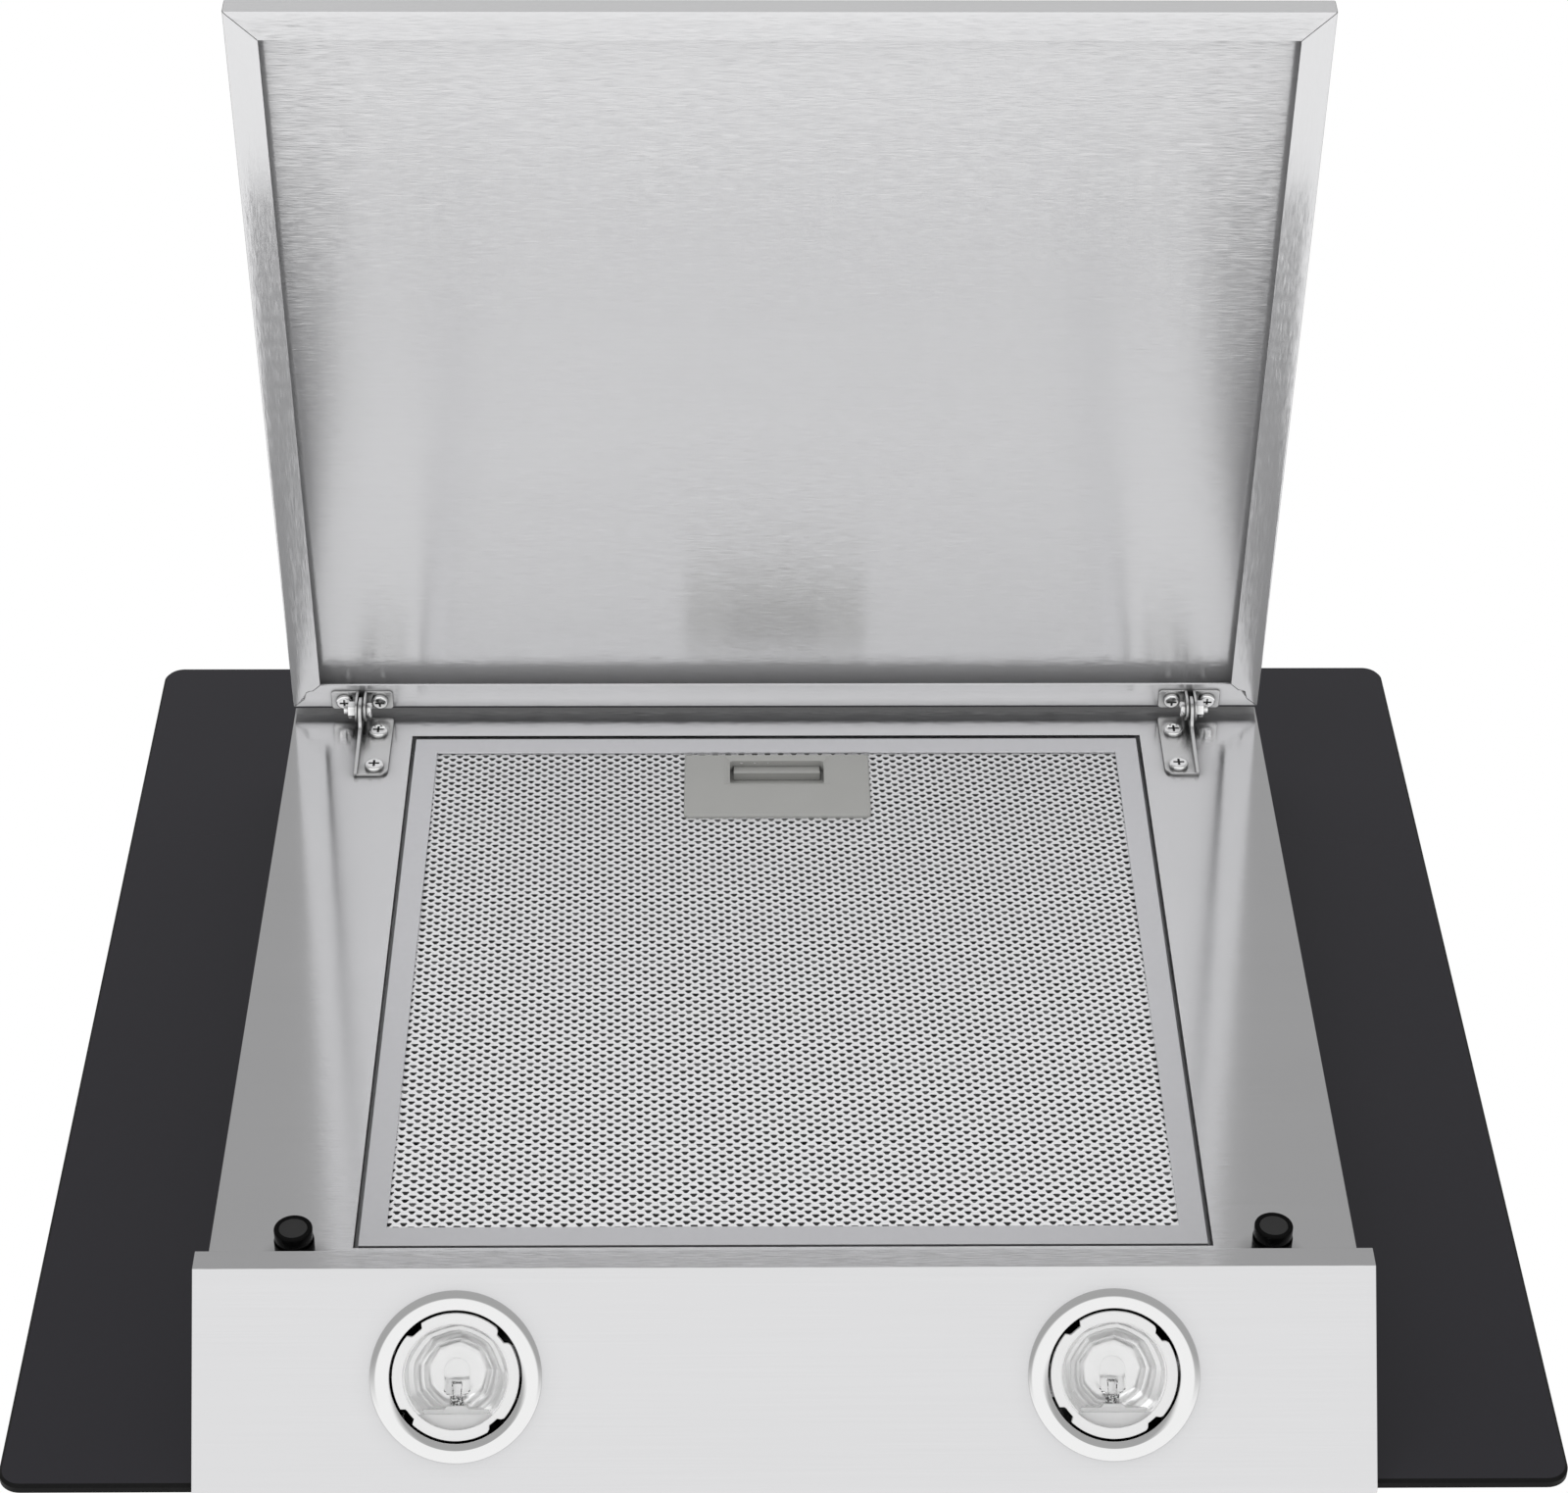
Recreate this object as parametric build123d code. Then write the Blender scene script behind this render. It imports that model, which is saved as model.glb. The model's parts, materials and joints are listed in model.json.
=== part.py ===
from build123d import *
from math import cos, radians, sin
import os

# Slanted wall hood, 600 mm wide, with its suction flap swung open.
# Row frame: X to the right, Y towards the wall, Z up. The wall is the plane Y = 0, and the
# origin lies on it, midway between the two upper wall holes.
# The front pieces are drawn in the slope frame: X across, Y up the glass from its lower edge,
# Z out of the glass towards the cook. The flap's pieces are drawn in the flap frame: origin on
# the hinge axis, X across, Y towards the flap's free edge, Z out of its hollow side.

# Sizes in millimetres, angles in degrees.

# Attitude on the wall
slope_deg = 52.0
wall_gap = 14.0
glass_drop = 370.0

# Glass panel
glass_width = 600.0
glass_length = 543.0
glass_thick = 5.0
glass_corner = 9.0
glass_bevel = 1.2
window_margin = 25.0
window_low = 112.0
window_high = 425.0
window_corner = 8.0

# Steel body in front of the glass
sheet = 1.0
plate_margin = 56.3
plate_height = 42.0
body_top = 450.5
body_edge = 1.2
body_flange = 13.0
body_screw_in = 6.5
body_screw_ups = (95.0, 250.0, 434.0)

# Lamp strip at the lower end
strip_low = -4.8
strip_lip = 1.2
strip_hook = 6.0
lamp_face_length = 84.3
strip_band = 9.6

# Lamps
lamp_spacing = 250.0
lamp_from_edge = 43.2
trim_inner = 25.2
trim_wall = 2.0
trim_lip = 5.4
trim_proud = 2.2
trim_depth = 12.0
ring_thick = 3.0
ring_width = 4.0
ring_sunk = 0.9
ring_lip = 0.4
lens_ledge = 0.8
notch_angles = (40.0, 131.0, 219.0, 310.0)
notch_length = 6.4
notch_depth = 1.7
lens_thick = 1.8
reflector_depth = 13.0
reflector_back = 11.0
reflector_wall = 0.8
reflector_curve = 2.4
bulb_radius = 5.0
bulb_length = 20.5
bulb_above_cup = 6.0
pin_radius = 0.5
pin_length = 5.5
pin_spacing = 4.0
socket_chord = 14.4
socket_width = 29.0
socket_depth = 11.0

# Catch posts
post_beside_filter = 21.3
post_up = 77.0
post_base_radius = 7.8
post_groove_radius = 6.8
post_cap_radius = 7.5
post_cap_height = 4.6
post_groove_height = 1.5
post_cap_edge = 0.6
magnet_radius = 5.5
magnet_thick = 3.4

# Hinges
hinge_beside_filter = 23.8
hinge_up = 434.4
hinge_above_plate = 9.8
blade_thick = 1.5
blade_round = 6.0
foot_width = 14.5
foot_low = 395.4
foot_high = 440.0
foot_round = 4.0
foot_screw_in = 8.2
foot_screw_ups = (401.0, 427.4)
pivot_radius = 2.0
pivot_gap = 0.06
washer_thick = 0.5
washer_radius = 5.0
angle_thick = 1.2
angle_width = 13.0
angle_low = -6.1
angle_high = 4.3
angle_round = 1.8
angle_screw_out = 8.2
angle_screw_along = -1.0
leaf_round = 5.5

# Flap
open_deg = 84.5
flap_length = 370.3
flap_thick = 10.0
flap_rim = 13.3
flap_edge_below = 6.1
flap_rim_back = 9.0
flap_edge_round = 1.0

# Grease filter
filter_opening_width = 337.4
filter_opening_low = 85.2
filter_opening_high = 427.2
filter_gap = 1.8
filter_sunk = 0.4
filter_depth = 10.0
filter_rim = 10.5
filter_wall = 1.0
mesh_thick = 0.6
core_folds = 40
core_sheet = 0.7
handle_width = 84.6
handle_length = 46.5
handle_high = 412.4
handle_depth = 8.4
handle_proud = 0.6
handle_round = 1.2
handle_corner = 2.5
recess_width = 43.0
recess_low = 391.2
recess_high = 408.4
recess_round = 1.5
recess_bevel = 1.0
recess_bevel_width = 2.4
latch_width = 40.0
latch_thick = 2.0
latch_tongue = 16.0
latch_up = 400.6
latch_lip = 1.6
latch_sunk = 2.2
handle_floor = 2.1
tab_spacing = 220.0
tab_width = 18.0
tab_reach = 7.0
tab_thick = 1.5
tab_play = 1.5
seat_ledge = 10.0

# Wall housing
carrier_thick = 1.5
housing_low = 86.0
housing_high = 530.0
housing_sheet = 1.2
housing_flange = 18.0
wall_hole_radius = 4.0
wall_hole_spacing = 300.0
wall_hole_rows = (0.0, -260.0)
hanger_size = 38.0
hanger_thick = 2.0

# Blower
fan_wall_gap = 19.0
fan_drop = 112.0
impeller_radius = 74.0
impeller_width = 90.0
impeller_plate = 1.6
impeller_rim = 14.0
hub_radius = 14.0
hub_length = 19.0
blade_count = 36
blade_chord = 12.0
blade_sheet = 1.0
blade_pitch_deg = 28.0
scroll_gap = 8.0
scroll_growth = 21.0
scroll_side_gap = 11.0
scroll_wall = 2.0
inlet_lip = 8.0
inlet_flare = 4.0
shaft_radius = 4.0
motor_radius = 42.0
motor_length = 54.0
motor_boss_radius = 16.0
motor_boss = 6.0
motor_plate_thick = 2.0
motor_screw_out = 5.0

# Outlet
collar_radius = 74.5
collar_wall = 2.5
collar_height = 45.0
collar_lip = 14.5
collar_lip_thick = 2.5
damper_height = 18.0
damper_offset = 5.5
damper_thick = 1.5
damper_pin = 1.5
damper_ledge = 4.0
damper_bar_gap = 0.8
rib = 2.0

# Electrical parts
gland_across = -100.0
gland_behind = 30.0
gland_bore = 4.0
gland_wall = 4.0
gland_flange = 3.0
gland_flange_thick = 5.0
gland_cap = 12.0
box_width = 60.0
box_depth = 58.0
box_height = 40.0
box_wall = 2.0
terminal_width = 40.0
terminal_depth = 18.0
terminal_height = 11.0
terminal_pitch = 12.0
terminal_hole = 2.2
capacitor_radius = 17.5
capacitor_length = 62.0
capacitor_drop = 140.0
capacitor_cap_radius = 11.0
capacitor_cap = 6.0
clip_height = 16.0
clip_wall = 2.5
transformer_across = 120.0
transformer_width = 60.0
transformer_depth = 30.0
transformer_height = 47.0
transformer_foot = 8.0
transformer_above_floor = 10.0
touch_low = 455.0
touch_length = 42.0
touch_width = 140.0
touch_board_thick = 1.6
touch_cover_depth = 14.0
touch_margin = 6.0

# Clearances
slide_gap = 0.2
seat_gap = 0.3
bolt_gap = 0.05

# How far a cut runs past the face that it opens
past = 9.0

# Screws: shank radius, head radius, head height
foot_screw = (2.0, 4.3, 2.3)
angle_screw = (2.0, 3.8, 2.1)
body_screw = (2.5, 4.75, 2.8)
outlet_screw = (2.0, 4.0, 2.4)
motor_screw = (2.0, 4.0, 2.4)
screw_end = 3.3
grommet_wall = 1.5
body_nut = (8.0, 4.0)
hinge_nut_size = (7.0, 3.2)
hinge_head = (3.6, 2.6)

slope = radians(slope_deg)
body_width = filter_opening_width + 2 * plate_margin
window_width = body_width - 2 * window_margin
post_x = filter_opening_width / 2 + post_beside_filter
blade_x = filter_opening_width / 2 + hinge_beside_filter
strip_top = strip_lip + lamp_face_length * sin(slope)
strip_knee = strip_low + lamp_face_length * cos(slope)
body_low = strip_knee + strip_band
hinge_out = plate_height + hinge_above_plate
post_height = hinge_above_plate + flap_rim_back - slide_gap
back_of_glass = -glass_thick
back_of_carrier = back_of_glass - carrier_thick
trim_barrel = trim_inner + trim_wall
trim_radius = trim_barrel + trim_lip


def slope_point(up, out):
    """Y and Z in the row frame of a point of the slope frame."""
    y = -wall_gap - up * cos(slope) - out * sin(slope)
    z = -glass_drop + up * sin(slope) - out * cos(slope)
    return y, z


def slope_y(z, out):
    """Y in the row frame where the plane at this distance out of the glass has height z."""
    up = (z + glass_drop + out * cos(slope)) / sin(slope)
    return slope_point(up, out)[0]


slope_frame = Location((0, -wall_gap, -glass_drop), (180 - slope_deg, 0, 0))
flap_frame = slope_frame * Location((0, hinge_up, hinge_out), (180 - open_deg, 0, 0))
lamp_level = slope_point(strip_low, strip_lip)[1]
lamp_y = slope_point(strip_low, strip_lip)[0] - lamp_from_edge
housing_floor = slope_point(housing_low, back_of_carrier)[1]
housing_roof = slope_point(housing_high, back_of_carrier)[1]
scroll_small = impeller_radius + scroll_gap
scroll_large = scroll_small + scroll_growth
scroll_side = impeller_width / 2 + scroll_side_gap
scroll_top = housing_roof - housing_sheet
fan_behind = scroll_small + scroll_growth / 3 + fan_wall_gap
fan = (-fan_behind, scroll_top - fan_drop)
outlet_y = -fan_behind - scroll_large / 2
collar_bore = collar_radius - collar_wall
gland_at = (gland_across, -gland_behind)


def block(x, y, z):
    """Box between two values on each axis."""
    low = Vector(x[0], y[0], z[0])
    high = Vector(x[1], y[1], z[1])
    size = high - low
    return Pos((low + high) / 2) * Box(size.X, size.Y, size.Z)


def rod(radius, ends, at, axis="Z"):
    """Cylinder between two values on an axis, centred at two values on the other axes."""
    middle = (ends[0] + ends[1]) / 2
    round_bar = Cylinder(radius, ends[1] - ends[0])
    if axis == "X":
        return Pos(middle, at[0], at[1]) * Rot(0, 90, 0) * round_bar
    if axis == "Y":
        return Pos(at[0], middle, at[1]) * Rot(90, 0, 0) * round_bar
    return Pos(at[0], at[1], middle) * round_bar


def prism(points, x):
    """Straight bar along X from its outline in Y and Z."""
    face = make_face(Polyline(*points, close=True))
    return extrude(Plane.YZ.offset(x[0]) * face, x[1] - x[0])


def mirrored(shape):
    return mirror(shape, about=Plane.YZ)


def unturned(shape):
    return shape


def both_sides(shape):
    return [shape, mirrored(shape)]


def half(size):
    return (-size / 2, size / 2)


def around(middle, size):
    return (middle - size / 2, middle + size / 2)


def pan_screw(sizes, grip):
    """Crosshead screw standing on Z = 0, its shank through what it holds and a little further."""
    shank, head, height = sizes
    body = rod(head, (0, height), (0, 0))
    body = fillet(body.edges().group_by(Axis.Z)[-1], height * 0.45)
    body += rod(shank, (-grip - screw_end, 0), (0, 0))
    slot = Pos(0, 0, height * 0.7) * Box(head * 1.15, head * 0.26, height)
    return body - slot - Rot(0, 0, 90) * slot


def hex_nut(sizes, bore):
    across_flats, height = sizes
    nut = extrude(RegularPolygon(across_flats / 2, 6, major_radius=False), height)
    return nut - Cylinder(bore, 4 * height)


# Glass, its carrier and the wall housing

def window(depth):
    """The air opening through the glass."""
    gap = block(half(window_width), (window_low, window_high), depth)
    return fillet(gap.edges().filter_by(Axis.Z), window_corner)


def body_screw_places():
    across = body_width / 2 - body_screw_in - sheet
    return [(side * across, up) for side in (-1, 1) for up in body_screw_ups]


grommet_radius = body_screw[0] + grommet_wall


def glass_panel():
    pane = block(half(glass_width), (0, glass_length), (back_of_glass, 0))
    pane = fillet(pane.edges().filter_by(Axis.Z), glass_corner)
    pane = chamfer(pane.edges().group_by(Axis.Z)[-1], glass_bevel)
    pane = chamfer(pane.edges().group_by(Axis.Z)[0], glass_bevel)
    through = (back_of_glass - past, past)
    pane -= window(through)
    for at in body_screw_places():
        pane -= rod(grommet_radius, through, at)
    return slope_frame * pane


def glass_grommets():
    bush = rod(grommet_radius - bolt_gap, (back_of_glass, 0), (0, 0))
    bush -= rod(body_screw[0] + bolt_gap, (back_of_glass - past, past), (0, 0))
    return [slope_frame * Pos(x, up, 0) * bush for x, up in body_screw_places()]


def glass_carrier():
    inset = 2 * housing_sheet
    depth = (back_of_carrier, back_of_glass)
    through = (back_of_carrier - past, past)
    ring = block(half(body_width - 2 * inset), (housing_low + inset, housing_high - 2 * inset), depth)
    ring -= window(through)
    touch_span = (touch_low - touch_margin, touch_low + touch_length + touch_margin)
    ring -= block(half(touch_width + 2 * touch_margin), touch_span, through)
    for at in body_screw_places():
        ring -= rod(body_screw[0] + bolt_gap, through, at)
    return slope_frame * ring


def wall_hole_places():
    return [(side * wall_hole_spacing / 2, z) for z in wall_hole_rows for side in (-1, 1)]


def outlet_screw_places():
    reach = collar_radius + collar_lip - 1.6 * outlet_screw[1]
    return [(reach * cos(radians(a)), outlet_y + reach * sin(radians(a))) for a in (45, 135, 225, 315)]


def rear_housing():
    wall = housing_sheet
    out = back_of_carrier
    outer = prism([(0, housing_floor), slope_point(housing_low, out), slope_point(housing_high, out),
                   (0, housing_roof)], half(body_width))
    floor_in = housing_floor + wall
    roof_in = housing_roof - wall
    inner = prism([(-wall, floor_in), (slope_y(floor_in, out + past), floor_in),
                   (slope_y(roof_in, out + past), roof_in), (-wall, roof_in)], half(body_width - 2 * wall))
    flange = block(half(body_width), (housing_low - past, housing_high + past), (out - wall, out))
    flange -= block(half(body_width - 2 * housing_flange),
                    (housing_low + housing_flange, housing_high - housing_flange), (out - past, out + past))
    shell = outer - inner + ((slope_frame * flange) & outer)
    for at in body_screw_places():
        shell -= slope_frame * rod(body_screw[0] + bolt_gap, (out - past, out + past), at)
    for place in wall_hole_places():
        shell -= rod(wall_hole_radius, (-past, past), place, "Y")
    through = (housing_roof - past, housing_roof + past)
    shell -= rod(collar_bore, through, (0, outlet_y))
    shell -= rod(gland_bore + gland_wall + bolt_gap, through, gland_at)
    for at in outlet_screw_places():
        shell -= rod(outlet_screw[0] + bolt_gap, through, at)
    return shell


def hanger_plates():
    plates = []
    depth = (-housing_sheet - hanger_thick, -housing_sheet)
    for x, z in wall_hole_places()[:2]:
        plate = block(around(x, hanger_size), depth, around(z, hanger_size))
        plates.append(plate - rod(wall_hole_radius, (-past, past), (x, z), "Y"))
    return plates


def body_screws():
    """They clamp body, glass, carrier and housing together, each into a nut."""
    screw = pan_screw(body_screw, sheet + glass_thick + carrier_thick + housing_sheet + body_nut[1])
    return [slope_frame * Pos(x, up, sheet) * screw for x, up in body_screw_places()]


def body_nuts():
    start = back_of_carrier - housing_sheet - body_nut[1]
    nut = hex_nut(body_nut, body_screw[0] + bolt_gap)
    return [slope_frame * Pos(x, up, start) * nut for x, up in body_screw_places()]


# Steel body and lamp strip

def foot_screw_places(side):
    across = blade_x - foot_screw_in
    return [(side * across, up) for up in foot_screw_ups]


def body_tray():
    tray = block(half(body_width), (body_low, body_top), (0, plate_height))
    front = tray.edges().group_by(Axis.Z)[-1]
    tray = fillet(front.filter_by(Axis.Y) + front.sort_by(Axis.Y)[-1:], body_edge)
    tray -= block(half(body_width - 2 * sheet), (body_low + sheet, body_top - sheet),
                  (sheet, plate_height - sheet))
    tray -= block(half(body_width - 2 * body_flange), (body_low + body_flange, body_top - body_flange),
                  (-past, past))
    through = (plate_height - past, plate_height + past)
    tray -= block(half(filter_opening_width), (filter_opening_low, filter_opening_high), through)
    for side in (-1, 1):
        for at in foot_screw_places(side):
            tray -= rod(foot_screw[0] + bolt_gap, through, at)
    for at in body_screw_places():
        tray -= rod(body_screw[0] + bolt_gap, (-past, past), at)
    return slope_frame * tray


def lamp_places():
    return (-lamp_spacing / 2, lamp_spacing / 2)


def lamp_strip():
    outline = [(strip_low, -strip_hook), (strip_low, strip_lip), (strip_knee, strip_top),
               (body_low, strip_top), (body_low, -strip_hook)]
    face = make_face(Polyline(*outline, close=True))
    inside = offset(face, -sheet, kind=Kind.INTERSECTION)
    shell = extrude(Plane.YZ.offset(-body_width / 2) * face, body_width)
    shell -= extrude(Plane.YZ.offset(-body_width / 2 + sheet) * inside, body_width - 2 * sheet)
    inner_width = body_width - 2 * sheet
    shell -= block(half(inner_width), (strip_low + sheet, body_low - sheet), (-past, strip_lip))
    shell -= block(half(body_width + past), (strip_low + sheet, body_low + past), (-past, 0))
    shell += block(half(inner_width), (body_low - body_flange, body_low - sheet), (0, sheet))
    shell = slope_frame * shell
    for x in lamp_places():
        shell -= rod(trim_barrel + bolt_gap, (lamp_level - past, lamp_level + past), (x, lamp_y))
    return shell


# Lamps: drawn with the lamp face at Z = 0 and the light going down

def lamp_trim():
    flange = rod(trim_radius, (-trim_proud, 0), (0, 0))
    flange = fillet(flange.edges().group_by(Axis.Z)[0], trim_proud * 0.7)
    barrel = rod(trim_barrel, (0, trim_depth), (0, 0))
    return flange + barrel - rod(trim_inner, (-past, trim_depth + past), (0, 0))


ring_radius = trim_inner - 2 * slide_gap
lens_radius = ring_radius - ring_width
ring_face = -trim_proud + ring_sunk
lens_face = ring_face + ring_lip
cup_face = ring_face + ring_thick + slide_gap


def lamp_ring():
    ring = rod(ring_radius, (ring_face, ring_face + ring_thick), (0, 0))
    through = (ring_face - past, ring_face + past)
    ring -= rod(lens_radius + bolt_gap, (lens_face, ring_face + past), (0, 0))
    ring -= rod(lens_radius - lens_ledge, through, (0, 0))
    notch = block((ring_radius - notch_depth, ring_radius + past), half(notch_length), through)
    for angle in notch_angles:
        ring -= Rot(0, 0, -angle) * notch
    return ring


def lamp_lens():
    return rod(lens_radius, (lens_face, lens_face + lens_thick), (0, 0))


def socket_space(grow):
    """The part of the lamp that the socket and its flat cover fill."""
    return block(half(socket_width + 2 * grow), (socket_chord - grow, trim_inner + past),
                 (cup_face - grow, cup_face + socket_depth + grow))


def lamp_reflector():
    """Pressed cup, from its rim at the ring up to a flat back."""
    top = cup_face + reflector_depth
    ceiling = top - reflector_wall
    rim = lens_radius
    waist = cup_face + reflector_depth / 2
    inner = [(rim, cup_face), (rim - reflector_curve, waist), (reflector_back, ceiling)]
    outer = [(trim_inner - bolt_gap, cup_face), (rim - reflector_curve + 3.5 * reflector_wall, waist),
             (reflector_back, top)]
    outline = ThreePointArc(*inner) + Polyline(inner[-1], (0, ceiling), (0, top), outer[-1])
    outline += ThreePointArc(*outer) + Line(outer[0], inner[0])
    cup = revolve(Plane.XZ * make_face(outline), Axis.Z)
    return cup - socket_space(slide_gap)


def bulb_pin(grow):
    """Both pins, or the two holes for them."""
    ends = (socket_chord - 1, socket_chord + pin_length + grow)
    pin = rod(pin_radius + grow, ends, (pin_spacing / 2, cup_face + bulb_above_cup), "Y")
    return pin + mirrored(pin)


def lamp_socket():
    cover = socket_space(0) & rod(lens_radius - bolt_gap, (cup_face, cup_face + socket_depth), (0, 0))
    return cover - bulb_pin(bolt_gap)


def lamp_bulb():
    """Capsule lying across the reflector, its two pins in the socket."""
    middle = cup_face + bulb_above_cup
    tip = socket_chord - bulb_length
    pinch = bulb_radius * 0.42
    capsule = rod(bulb_radius, (tip + bulb_radius, socket_chord - pinch), (0, middle), "Y")
    capsule += Pos(0, tip + bulb_radius, middle) * Sphere(bulb_radius)
    capsule += block((-bulb_radius, bulb_radius), (socket_chord - bulb_radius, socket_chord - slide_gap),
                     (middle - pinch, middle + pinch))
    return capsule + bulb_pin(0)


def lamp_parts():
    pieces = {"lamp_trim": lamp_trim(), "lamp_ring": lamp_ring(), "lamp_glass": lamp_lens(),
              "lamp_reflector": lamp_reflector(), "lamp_socket": lamp_socket(), "lamp_bulb": lamp_bulb()}
    placed = {}
    for x, word in zip(lamp_places(), ("left", "right")):
        seat = Pos(x, lamp_y, lamp_level)
        for name, piece in pieces.items():
            placed[f"{name}_{word}"] = seat * piece
    return placed


# Catch posts

def catch_post():
    stand = plate_height
    groove = post_height - post_cap_height - post_groove_height
    post = rod(post_base_radius, (stand, stand + groove), (0, 0))
    post += rod(post_groove_radius, (stand + groove, stand + groove + post_groove_height), (0, 0))
    cap = rod(post_cap_radius, (stand + post_height - post_cap_height, stand + post_height), (0, 0))
    post += fillet(cap.edges().group_by(Axis.Z)[-1], post_cap_edge)
    top = stand + post_height
    return post - rod(magnet_radius + bolt_gap, (top - magnet_thick, top + past), (0, 0))


def catch_magnet():
    top = plate_height + post_height
    return rod(magnet_radius, (top - magnet_thick, top - slide_gap), (0, 0))


def at_post(shape):
    return slope_frame * Pos(post_x, post_up, 0) * shape


# Hinges: the right-hand one, mirrored for the left

blade_side = blade_thick / 2
leaf_start = blade_side + washer_thick + bolt_gap


def hinge_bracket():
    base = plate_height
    foot_x = (blade_x - foot_width, blade_x + blade_side)
    foot = block(foot_x, (foot_low, foot_high), (base, base + blade_thick))
    foot = fillet(foot.edges().filter_by(Axis.Z).group_by(Axis.X)[0], foot_round)
    for at in foot_screw_places(1):
        foot -= rod(foot_screw[0] + bolt_gap, (base - past, base + past), at)
    outline = [(foot_low, base), (foot_high, base), (hinge_up + blade_round, hinge_out),
               (hinge_up - blade_round, hinge_out), (foot_low, base + 2 * blade_thick)]
    blade_span = (blade_x - blade_side, blade_x + blade_side)
    pivot = (hinge_up, hinge_out)
    blade = prism(outline, blade_span) + rod(blade_round, blade_span, pivot, "X")
    return foot + blade - rod(pivot_radius + pivot_gap, (blade_x - past, blade_x + past), pivot, "X")


def flap_angle(outward):
    """One small angle on the flap's rim, in the flap frame, on one side of the blade."""
    near = leaf_start
    span = (near, near + angle_width)
    foot = block(span, (angle_low, angle_high), (-flap_rim_back, -flap_rim_back + angle_thick))
    foot = fillet(foot.edges().filter_by(Axis.Z).group_by(Axis.X)[-1], angle_round)
    foot -= rod(angle_screw[0] + bolt_gap, (-flap_rim_back - past, 0), (angle_screw_out, angle_screw_along))
    leaf = block((near, near + angle_thick), (-leaf_round, angle_high), (-flap_rim_back, 0))
    leaf += rod(leaf_round, (near, near + angle_thick), (0, 0), "X")
    angle = foot + leaf - rod(pivot_radius + pivot_gap, (0, past), (0, 0), "X")
    if not outward:
        angle = mirrored(angle)
    return Pos(blade_x, 0, 0) * angle


def flap_angles():
    return [flap_angle(True), flap_angle(False)]


def flap_angle_screw_places():
    return [side * (blade_x + step * angle_screw_out) for side in (-1, 1) for step in (-1, 1)]


def flap_angle_screws():
    screw = pan_screw(angle_screw, angle_thick + sheet)
    height = -flap_rim_back + angle_thick
    return [flap_frame * Pos(x, angle_screw_along, height) * screw for x in flap_angle_screw_places()]


def hinge_washers():
    ring = rod(washer_radius, (blade_side, blade_side + washer_thick), (0, 0), "X")
    ring -= rod(pivot_radius + pivot_gap, (0, past), (0, 0), "X")
    rings = []
    for side in (-1, 1):
        for washer in both_sides(ring):
            rings.append(flap_frame * Pos(side * blade_x, 0, 0) * washer)
    return rings


bolt_face = leaf_start + angle_thick + bolt_gap


def hinge_bolt():
    """Head towards the middle of the hood, thread outwards."""
    radius, height = hinge_head
    head = rod(radius, (-bolt_face - height, -bolt_face), (0, 0), "X")
    head = fillet(head.edges().group_by(Axis.X)[0], height * 0.4)
    tip = bolt_face + hinge_nut_size[1] + pivot_radius
    return flap_frame * Pos(blade_x, 0, 0) * (head + rod(pivot_radius, (-bolt_face, tip), (0, 0), "X"))


def hinge_nut():
    nut = Rot(0, 90, 0) * hex_nut(hinge_nut_size, pivot_radius + bolt_gap)
    return flap_frame * Pos(blade_x + bolt_face, 0, 0) * nut


def hinge_foot_screws():
    screw = pan_screw(foot_screw, blade_thick + sheet)
    top = plate_height + blade_thick
    return [slope_frame * Pos(x, up, top) * screw for side in (-1, 1) for x, up in foot_screw_places(side)]


# Flap

def flap_panel():
    low = -flap_edge_below
    high = low + flap_length
    face = -flap_rim_back
    back = face - flap_thick
    pan = block(half(body_width), (low, high), (back, face))
    pan = fillet(pan.edges().group_by(Axis.Z)[0], flap_edge_round)
    pan -= block(half(body_width - 2 * sheet), (low + sheet, high - sheet), (back + sheet, face - sheet))
    through = (face - 3 * sheet, face + past)
    pan -= block(half(body_width - 2 * flap_rim), (low + flap_rim, high - flap_rim), through)
    for x in flap_angle_screw_places():
        pan -= rod(angle_screw[0] + bolt_gap, through, (x, angle_screw_along))
    return flap_frame * pan


# Grease filter

filter_face = plate_height - filter_sunk
filter_back = filter_face - filter_depth
filter_half = filter_opening_width / 2 - filter_gap
filter_low = filter_opening_low + filter_gap
filter_high = filter_opening_high - filter_gap
handle_low = handle_high - handle_length
handle_face = filter_face + handle_proud
handle_back = handle_face - handle_depth
latch_base = handle_back + handle_floor
mesh_top = filter_face - filter_wall - bolt_gap
mesh_low = filter_back + filter_wall + bolt_gap


def inside_frame(depth, grow=0.0):
    reach = filter_half - filter_wall - slide_gap + grow
    ends = (filter_low + filter_wall + slide_gap - grow, filter_high - filter_wall - slide_gap + grow)
    return block((-reach, reach), ends, depth)


def latch_slot(width, top, grow):
    """The way that the latch slides in, from the recess outwards."""
    level = (latch_base - grow, latch_base + latch_thick + grow)
    return block(half(width + 2 * grow), (latch_up, top), level)


def handle_space(grow, depth):
    return block(half(handle_width + 2 * grow), (handle_low - grow, handle_high + grow), depth)


tab_level = filter_face - filter_depth * 0.75


def tab_places():
    return (-tab_spacing / 2, tab_spacing / 2)


def filter_frame():
    """Channel frame; two tabs at its lower edge hook behind the plate."""
    frame = block((-filter_half, filter_half), (filter_low, filter_high), (filter_back, filter_face))
    frame -= block(half(2 * (filter_half - filter_rim)), (filter_low + filter_rim, filter_high - filter_rim),
                   (filter_back - past, filter_face + past))
    frame -= inside_frame((filter_back + filter_wall, filter_face - filter_wall), slide_gap)
    for x in tab_places():
        frame += block(around(x, tab_width), (filter_low - tab_reach, filter_low),
                       (tab_level, tab_level + tab_thick))
    return slope_frame * (frame - latch_slot(latch_tongue, filter_high + past, slide_gap))


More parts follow.
